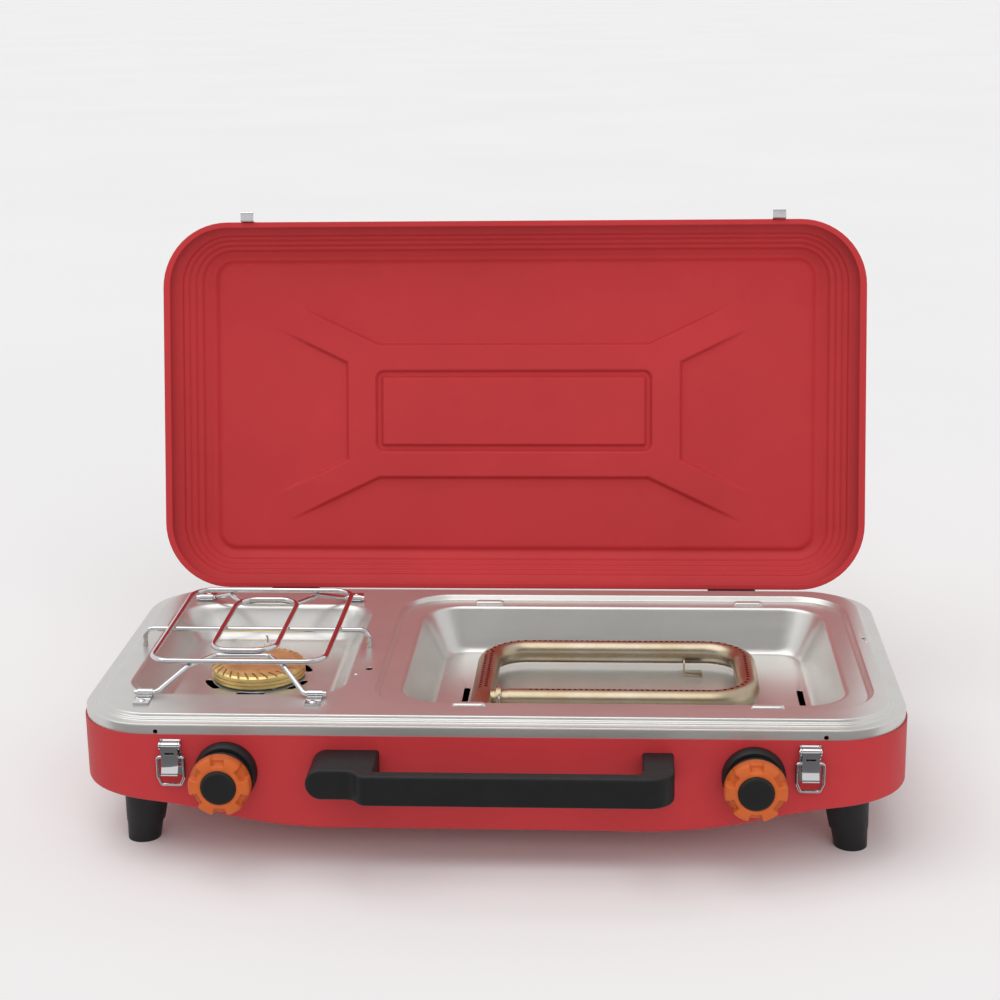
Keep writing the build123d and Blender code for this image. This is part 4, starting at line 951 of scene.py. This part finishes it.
def grip_mesh(name):
    """The knob's ring with six notches that slope out to a full rim at its back.

    Its section lists radius, depth and share of the notch.
    """
    low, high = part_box(name)
    x, z = (low.x + high.x) / 2, (low.z + high.z) / 2
    section = (
        (12.5, 10, 0), (12.5, 0.6, 0), (13.0, 0, 0), (15.6, 0, 0), (16.1, 0, 0.2), (16.6, 0, 0.8),
        (17.1, 0, 1), (18.6, 0.05, 1), (20.2, 0.3, 1), (21.2, 1.0, 1), (21.8, 2.0, 1), (22, 3.2, 1),
        (22, 6.4, 0), (22, 9.4, 0), (21.4, 10, 0),
    )
    rings = []
    for radius, depth, share in section:
        outer_share = max(0.0, radius - grip_crown) / (grip_radius - grip_crown)
        pinch = notch_pinch * outer_share if depth < grip_back else 0.0
        ring = []
        for step in range(grip_steps):
            angle = 2 * pi * step / grip_steps
            sunk = max(depth * mm, notch_depth * share * notch_share(angle))
            place = (radius - pinch * notch_share(angle)) * mm
            ring.append((x + place * cos(angle), low.y + sunk, z + place * sin(angle)))
        rings.append(ring)
    bm = bmesh.new()
    skin(bm, rings, looped=True)
    bmesh.ops.recalc_face_normals(bm, faces=bm.faces)
    return bm


# Operators

class STOVE_OT_casing(bpy.types.Operator):
    """Finish the pressed casing, its feet and their fasteners"""
    bl_idname = "stove.casing"
    bl_label = "Casing and feet"

    def execute(self, context):
        soften_node("casing_tray", Finishes.get("red"), 0.3 * mm)
        soften_node("feet", Finishes.get("black"), 0.8 * mm, 3)
        for name in ("foot_screws", "foot_nuts", "deck_screws"):
            soften_node(name, Finishes.get("zinc"), 0.2 * mm)
        return {"FINISHED"}


class STOVE_OT_deck(bpy.types.Operator):
    """Press the stainless deck with its well and its bowl"""
    bl_idname = "stove.deck"
    bl_label = "Stainless deck"

    def execute(self, context):
        steel = Finishes.get("steel")
        deck = finished(deck_mesh(), "pressed_deck", "casing", steel, ["deck_plate"])
        thicken(deck, deck_sheet)
        cut(deck, skirt_pins(), steel)
        even_normals(deck)
        finished(pressings_mesh(), "deck_pressings", "casing", steel)
        return {"FINISHED"}


class STOVE_OT_lid(bpy.types.Operator):
    """Press the lid with its hem, its terraces and its star"""
    bl_idname = "stove.lid"
    bl_label = "Pressed lid"

    def execute(self, context):
        lid = finished(lid_mesh(), "pressed_lid", "lid", Finishes.get("red"), ["lid_shell"])
        even_normals(lid)
        return {"FINISHED"}


class STOVE_OT_round_burner(bpy.types.Operator):
    """Finish the brass cap, its cup and its electrode"""
    bl_idname = "stove.round_burner"
    bl_label = "Round burner"

    def execute(self, context):
        soften_node("burner_cap", Finishes.get("brass"), 0.25 * mm)
        soften_node("burner_cup", Finishes.get("aluminium"), 0.4 * mm)
        soften_node("cup_screws", Finishes.get("zinc"), 0.2 * mm)
        soften_node("mixing_tube", Finishes.get("steel"), 0.2 * mm)
        soften_node("electrode_ceramics", Finishes.get("ceramic"), 0.5 * mm, 3)
        soften_node("electrode_tips", Finishes.get("zinc"), 0.1 * mm)
        return {"FINISHED"}


class STOVE_OT_loop_burner(bpy.types.Operator):
    """Bend the loop burner's tube and cut its gas ports"""
    bl_idname = "stove.loop_burner"
    bl_label = "Loop burner"

    def execute(self, context):
        tempered = Finishes.get("tempered")
        tube = finished(tube_mesh(), "bent_tube", "casing", tempered, ["loop_tube"])
        # The ports' walls get the near-black painted shade
        cut(tube, port_pins(), Finishes.get("port_shade"))
        even_normals(tube)
        soften_node("loop_collar", tempered, 0.3 * mm)
        finished(stay_mesh(), "loop_stay", "casing", tempered, ["loop_bracket"])
        return {"FINISHED"}


class STOVE_OT_trivet(bpy.types.Operator):
    """Plate the trivet's wires and its clips"""
    bl_idname = "stove.trivet"
    bl_label = "Wire trivet"

    def execute(self, context):
        for name in ("outer_loop", "inner_loop", "leg_front", "leg_rear", "bar"):
            soften_node("trivet_" + name, Finishes.get("chrome"), 0.4 * mm)
        for name in ("trivet_clips", "clip_rivets"):
            soften_node(name, Finishes.get("chrome"), 0.25 * mm)
        return {"FINISHED"}


class STOVE_OT_knobs(bpy.types.Operator):
    """Finish the two knobs and the bezels behind them"""
    bl_idname = "stove.knobs"
    bl_label = "Knobs"

    def execute(self, context):
        soft = sizes().soft_edge
        for side in ("left", "right"):
            node = "knob_grip_" + side
            finished(grip_mesh(node), "notched_grip_" + side, "knob_" + side,
                     Finishes.get("orange"), [node])
            soften_node("knob_core_" + side, Finishes.get("black"), soft, 3)
            soften_node("spindle_" + side, Finishes.get("brass"), 0.3 * mm)
            soften_node("thrust_ring_" + side, Finishes.get("zinc"), 0.2 * mm)
        soften_node("knob_bezels", Finishes.get("black"), soft, 3)
        return {"FINISHED"}


class STOVE_OT_latches(bpy.types.Operator):
    """Plate the latches and the lid's catches"""
    bl_idname = "stove.latches"
    bl_label = "Latches and catches"

    def execute(self, context):
        for side in ("left", "right"):
            soften_node("latch_lever_" + side, Finishes.get("chrome"), 0.3 * mm)
            soften_node("latch_bail_" + side, Finishes.get("chrome"), 0.3 * mm)
        for name in ("latch_bases", "latch_pins", "latch_rivets", "lid_catches"):
            soften_node(name, Finishes.get("chrome"), 0.3 * mm)
        return {"FINISHED"}


class STOVE_OT_handle(bpy.types.Operator):
    """Finish the carry handle and its screws"""
    bl_idname = "stove.handle"
    bl_label = "Carry handle"

    def execute(self, context):
        soften_node("carry_handle", Finishes.get("black"), 0.6 * mm, 3)
        soften_node("handle_screws", Finishes.get("zinc"), 0.2 * mm)
        return {"FINISHED"}


class STOVE_OT_hinges(bpy.types.Operator):
    """Finish the two hinges, painted dark as shade, and their rivets"""
    bl_idname = "stove.hinges"
    bl_label = "Hinges"

    def execute(self, context):
        for name in ("hinge_bases", "hinge_leaves", "hinge_pins"):
            # The hinges get a painted shade, dark as the slot they sit in
            soften_node(name, Finishes.get("hinge_shade"), 0.25 * mm)
        for name in ("hinge_rivets", "lid_rivets"):
            soften_node(name, Finishes.get("zinc"), 0.25 * mm)
        return {"FINISHED"}


class STOVE_OT_gas_lines(bpy.types.Operator):
    """Finish the valves, the pipes, the inlet and the igniters"""
    bl_idname = "stove.gas_lines"
    bl_label = "Gas lines"

    def execute(self, context):
        fittings = ("valve_left", "valve_right", "valve_nuts", "manifold_pipe", "gas_inlet", "inlet_nut",
                    "left_jet", "loop_jet", "feed_pipe")
        for name in fittings:
            soften_node(name, Finishes.get("brass"), 0.3 * mm)
        soften_node("jet_bracket", Finishes.get("steel"), 0.2 * mm)
        soften_node("igniters", Finishes.get("black"), 0.5 * mm)
        soften_node("ignition_leads", Finishes.get("rubber"), 0.0)
        return {"FINISHED"}


def floor_sheet():
    """A plain pale floor, large enough to fill the view."""
    bm = bmesh.new()
    bmesh.ops.create_circle(bm, cap_ends=True, radius=floor_radius, segments=96)
    mesh = bpy.data.meshes.new("floor")
    bm.to_mesh(mesh)
    bm.free()
    floor = bpy.data.objects.new("floor", mesh)
    bpy.context.scene.collection.objects.link(floor)
    material, tree, shader = new_finish("pale_floor")
    clouds = noise(tree, object_place(tree), 1.2, 2.0, 0.5)
    base = colours().floor
    tree.links.new(blended(tree, clouds, shade(base, 0.99), shade(base, 1.01)), shader.inputs["Base Color"])
    shader.inputs["Roughness"].default_value = 0.85
    shader.inputs["Specular IOR Level"].default_value = 0.1
    mesh.materials.append(material)


def studio_world():
    """Soft light from all round, and a pale backdrop in what is seen and mirrored."""
    world = bpy.data.worlds.new("studio")
    bpy.context.scene.world = world
    world.use_nodes = True
    tree = world.node_tree
    tree.nodes.clear()
    ambient = tree.nodes.new("ShaderNodeBackground")
    ambient.inputs["Color"].default_value = (*ambient_colour, 1)
    ambient.inputs["Strength"].default_value = ambient_level
    seen = tree.nodes.new("ShaderNodeBackground")
    seen.inputs["Color"].default_value = (*backdrop, 1)
    rays = tree.nodes.new("ShaderNodeLightPath")
    first = tree.nodes.new("ShaderNodeMath")
    second = tree.nodes.new("ShaderNodeMath")
    first.operation = second.operation = "MAXIMUM"
    tree.links.new(rays.outputs["Is Camera Ray"], first.inputs[0])
    tree.links.new(rays.outputs["Is Glossy Ray"], first.inputs[1])
    tree.links.new(first.outputs["Value"], second.inputs[0])
    tree.links.new(rays.outputs["Is Transmission Ray"], second.inputs[1])
    mix = tree.nodes.new("ShaderNodeMixShader")
    tree.links.new(second.outputs["Value"], mix.inputs["Fac"])
    tree.links.new(ambient.outputs["Background"], mix.inputs[1])
    tree.links.new(seen.outputs["Background"], mix.inputs[2])
    output = tree.nodes.new("ShaderNodeOutputWorld")
    tree.links.new(mix.outputs["Shader"], output.inputs["Surface"])


def soft_lamp(name, toward, spread_angle, power, mirrored):
    """A wide soft source from one side, even over the whole floor."""
    light = bpy.data.lights.new(name, "SUN")
    light.angle = radians(spread_angle)
    light.energy = power
    lamp = bpy.data.objects.new(name, light)
    lamp.visible_glossy = mirrored
    lamp.rotation_euler = (-Vector(toward)).to_track_quat("-Z", "Y").to_euler()
    bpy.context.scene.collection.objects.link(lamp)


def grey_card(name, place, tilt, half_size):
    """A grey card that only mirroring surfaces show."""
    bm = bmesh.new()
    bmesh.ops.create_grid(bm, x_segments=1, y_segments=1, size=1.0)
    mesh = bpy.data.meshes.new(name)
    bm.to_mesh(mesh)
    bm.free()
    card = bpy.data.objects.new(name, mesh)
    card.location = place
    card.rotation_euler = (radians(tilt), 0, 0)
    card.scale = (*half_size, 1)
    card.visible_camera = False
    card.visible_diffuse = False
    card.visible_shadow = False
    bpy.context.scene.collection.objects.link(card)
    material, tree, shader = new_finish(name)
    shader.inputs["Base Color"].default_value = (*card_grey, 1)
    shader.inputs["Roughness"].default_value = 0.9
    mesh.materials.append(material)


def photo_camera():
    """The camera at the photograph's viewing angle."""
    camera = bpy.data.cameras.new("photo_camera")
    camera.sensor_width = 36.0
    camera.lens = camera_lens
    camera.clip_end = 200.0
    level = cos(camera_pitch)
    ahead = Vector((-sin(camera_yaw) * level, cos(camera_yaw) * level, -sin(camera_pitch)))
    right = ahead.cross(Vector((0, 0, 1))).normalized()
    down = ahead.cross(right)
    image_right = right * cos(camera_roll) + down * sin(camera_roll)
    image_down = down * cos(camera_roll) - right * sin(camera_roll)
    turn = Matrix((image_right, -image_down, -ahead)).transposed()
    holder = bpy.data.objects.new("photo_camera", camera)
    holder.matrix_world = Matrix.Translation(camera_place) @ turn.to_4x4()
    bpy.context.scene.collection.objects.link(holder)
    bpy.context.scene.camera = holder


class STOVE_OT_stage(bpy.types.Operator):
    """Set up the floor, the studio light and the camera"""
    bl_idname = "stove.stage"
    bl_label = "Stage"

    def execute(self, context):
        context.scene.view_settings.view_transform = "Standard"
        floor_sheet()
        studio_world()
        for card in cards:
            grey_card(*card)
        for lamp in lamps:
            soft_lamp(*lamp)
        photo_camera()
        return {"FINISHED"}


class STOVE_PT_panel(bpy.types.Panel):
    """Lists the steps that dress the stove and their settings"""
    bl_idname = "STOVE_PT_panel"
    bl_label = "Camping stove"
    bl_space_type = "VIEW_3D"
    bl_region_type = "UI"
    bl_category = "Stove"

    def draw(self, context):
        for step in steps:
            self.layout.operator(step.bl_idname)
        for settings in (context.scene.stove_sizes, context.scene.stove_colours):
            for name in settings.bl_rna.properties.keys():
                if name not in ("rna_type", "name"):
                    self.layout.prop(settings, name)


steps = (
    STOVE_OT_casing, STOVE_OT_deck, STOVE_OT_lid, STOVE_OT_round_burner, STOVE_OT_loop_burner,
    STOVE_OT_trivet, STOVE_OT_knobs, STOVE_OT_latches, STOVE_OT_handle, STOVE_OT_hinges,
    STOVE_OT_gas_lines, STOVE_OT_stage,
)
classes = (StoveSizes, StoveColours) + steps + (STOVE_PT_panel,)


def register():
    for item in classes:
        bpy.utils.register_class(item)
    bpy.types.Scene.stove_sizes = bpy.props.PointerProperty(type=StoveSizes)
    bpy.types.Scene.stove_colours = bpy.props.PointerProperty(type=StoveColours)


def unregister():
    del bpy.types.Scene.stove_colours
    del bpy.types.Scene.stove_sizes
    for item in reversed(classes):
        bpy.utils.unregister_class(item)


def main():
    register()
    bpy.ops.stove.casing()
    bpy.ops.stove.deck()
    bpy.ops.stove.lid()
    bpy.ops.stove.round_burner()
    bpy.ops.stove.loop_burner()
    bpy.ops.stove.trivet()
    bpy.ops.stove.knobs()
    bpy.ops.stove.latches()
    bpy.ops.stove.handle()
    bpy.ops.stove.hinges()
    bpy.ops.stove.gas_lines()
    bpy.ops.stove.stage()


if __name__ == "__main__":
    main()
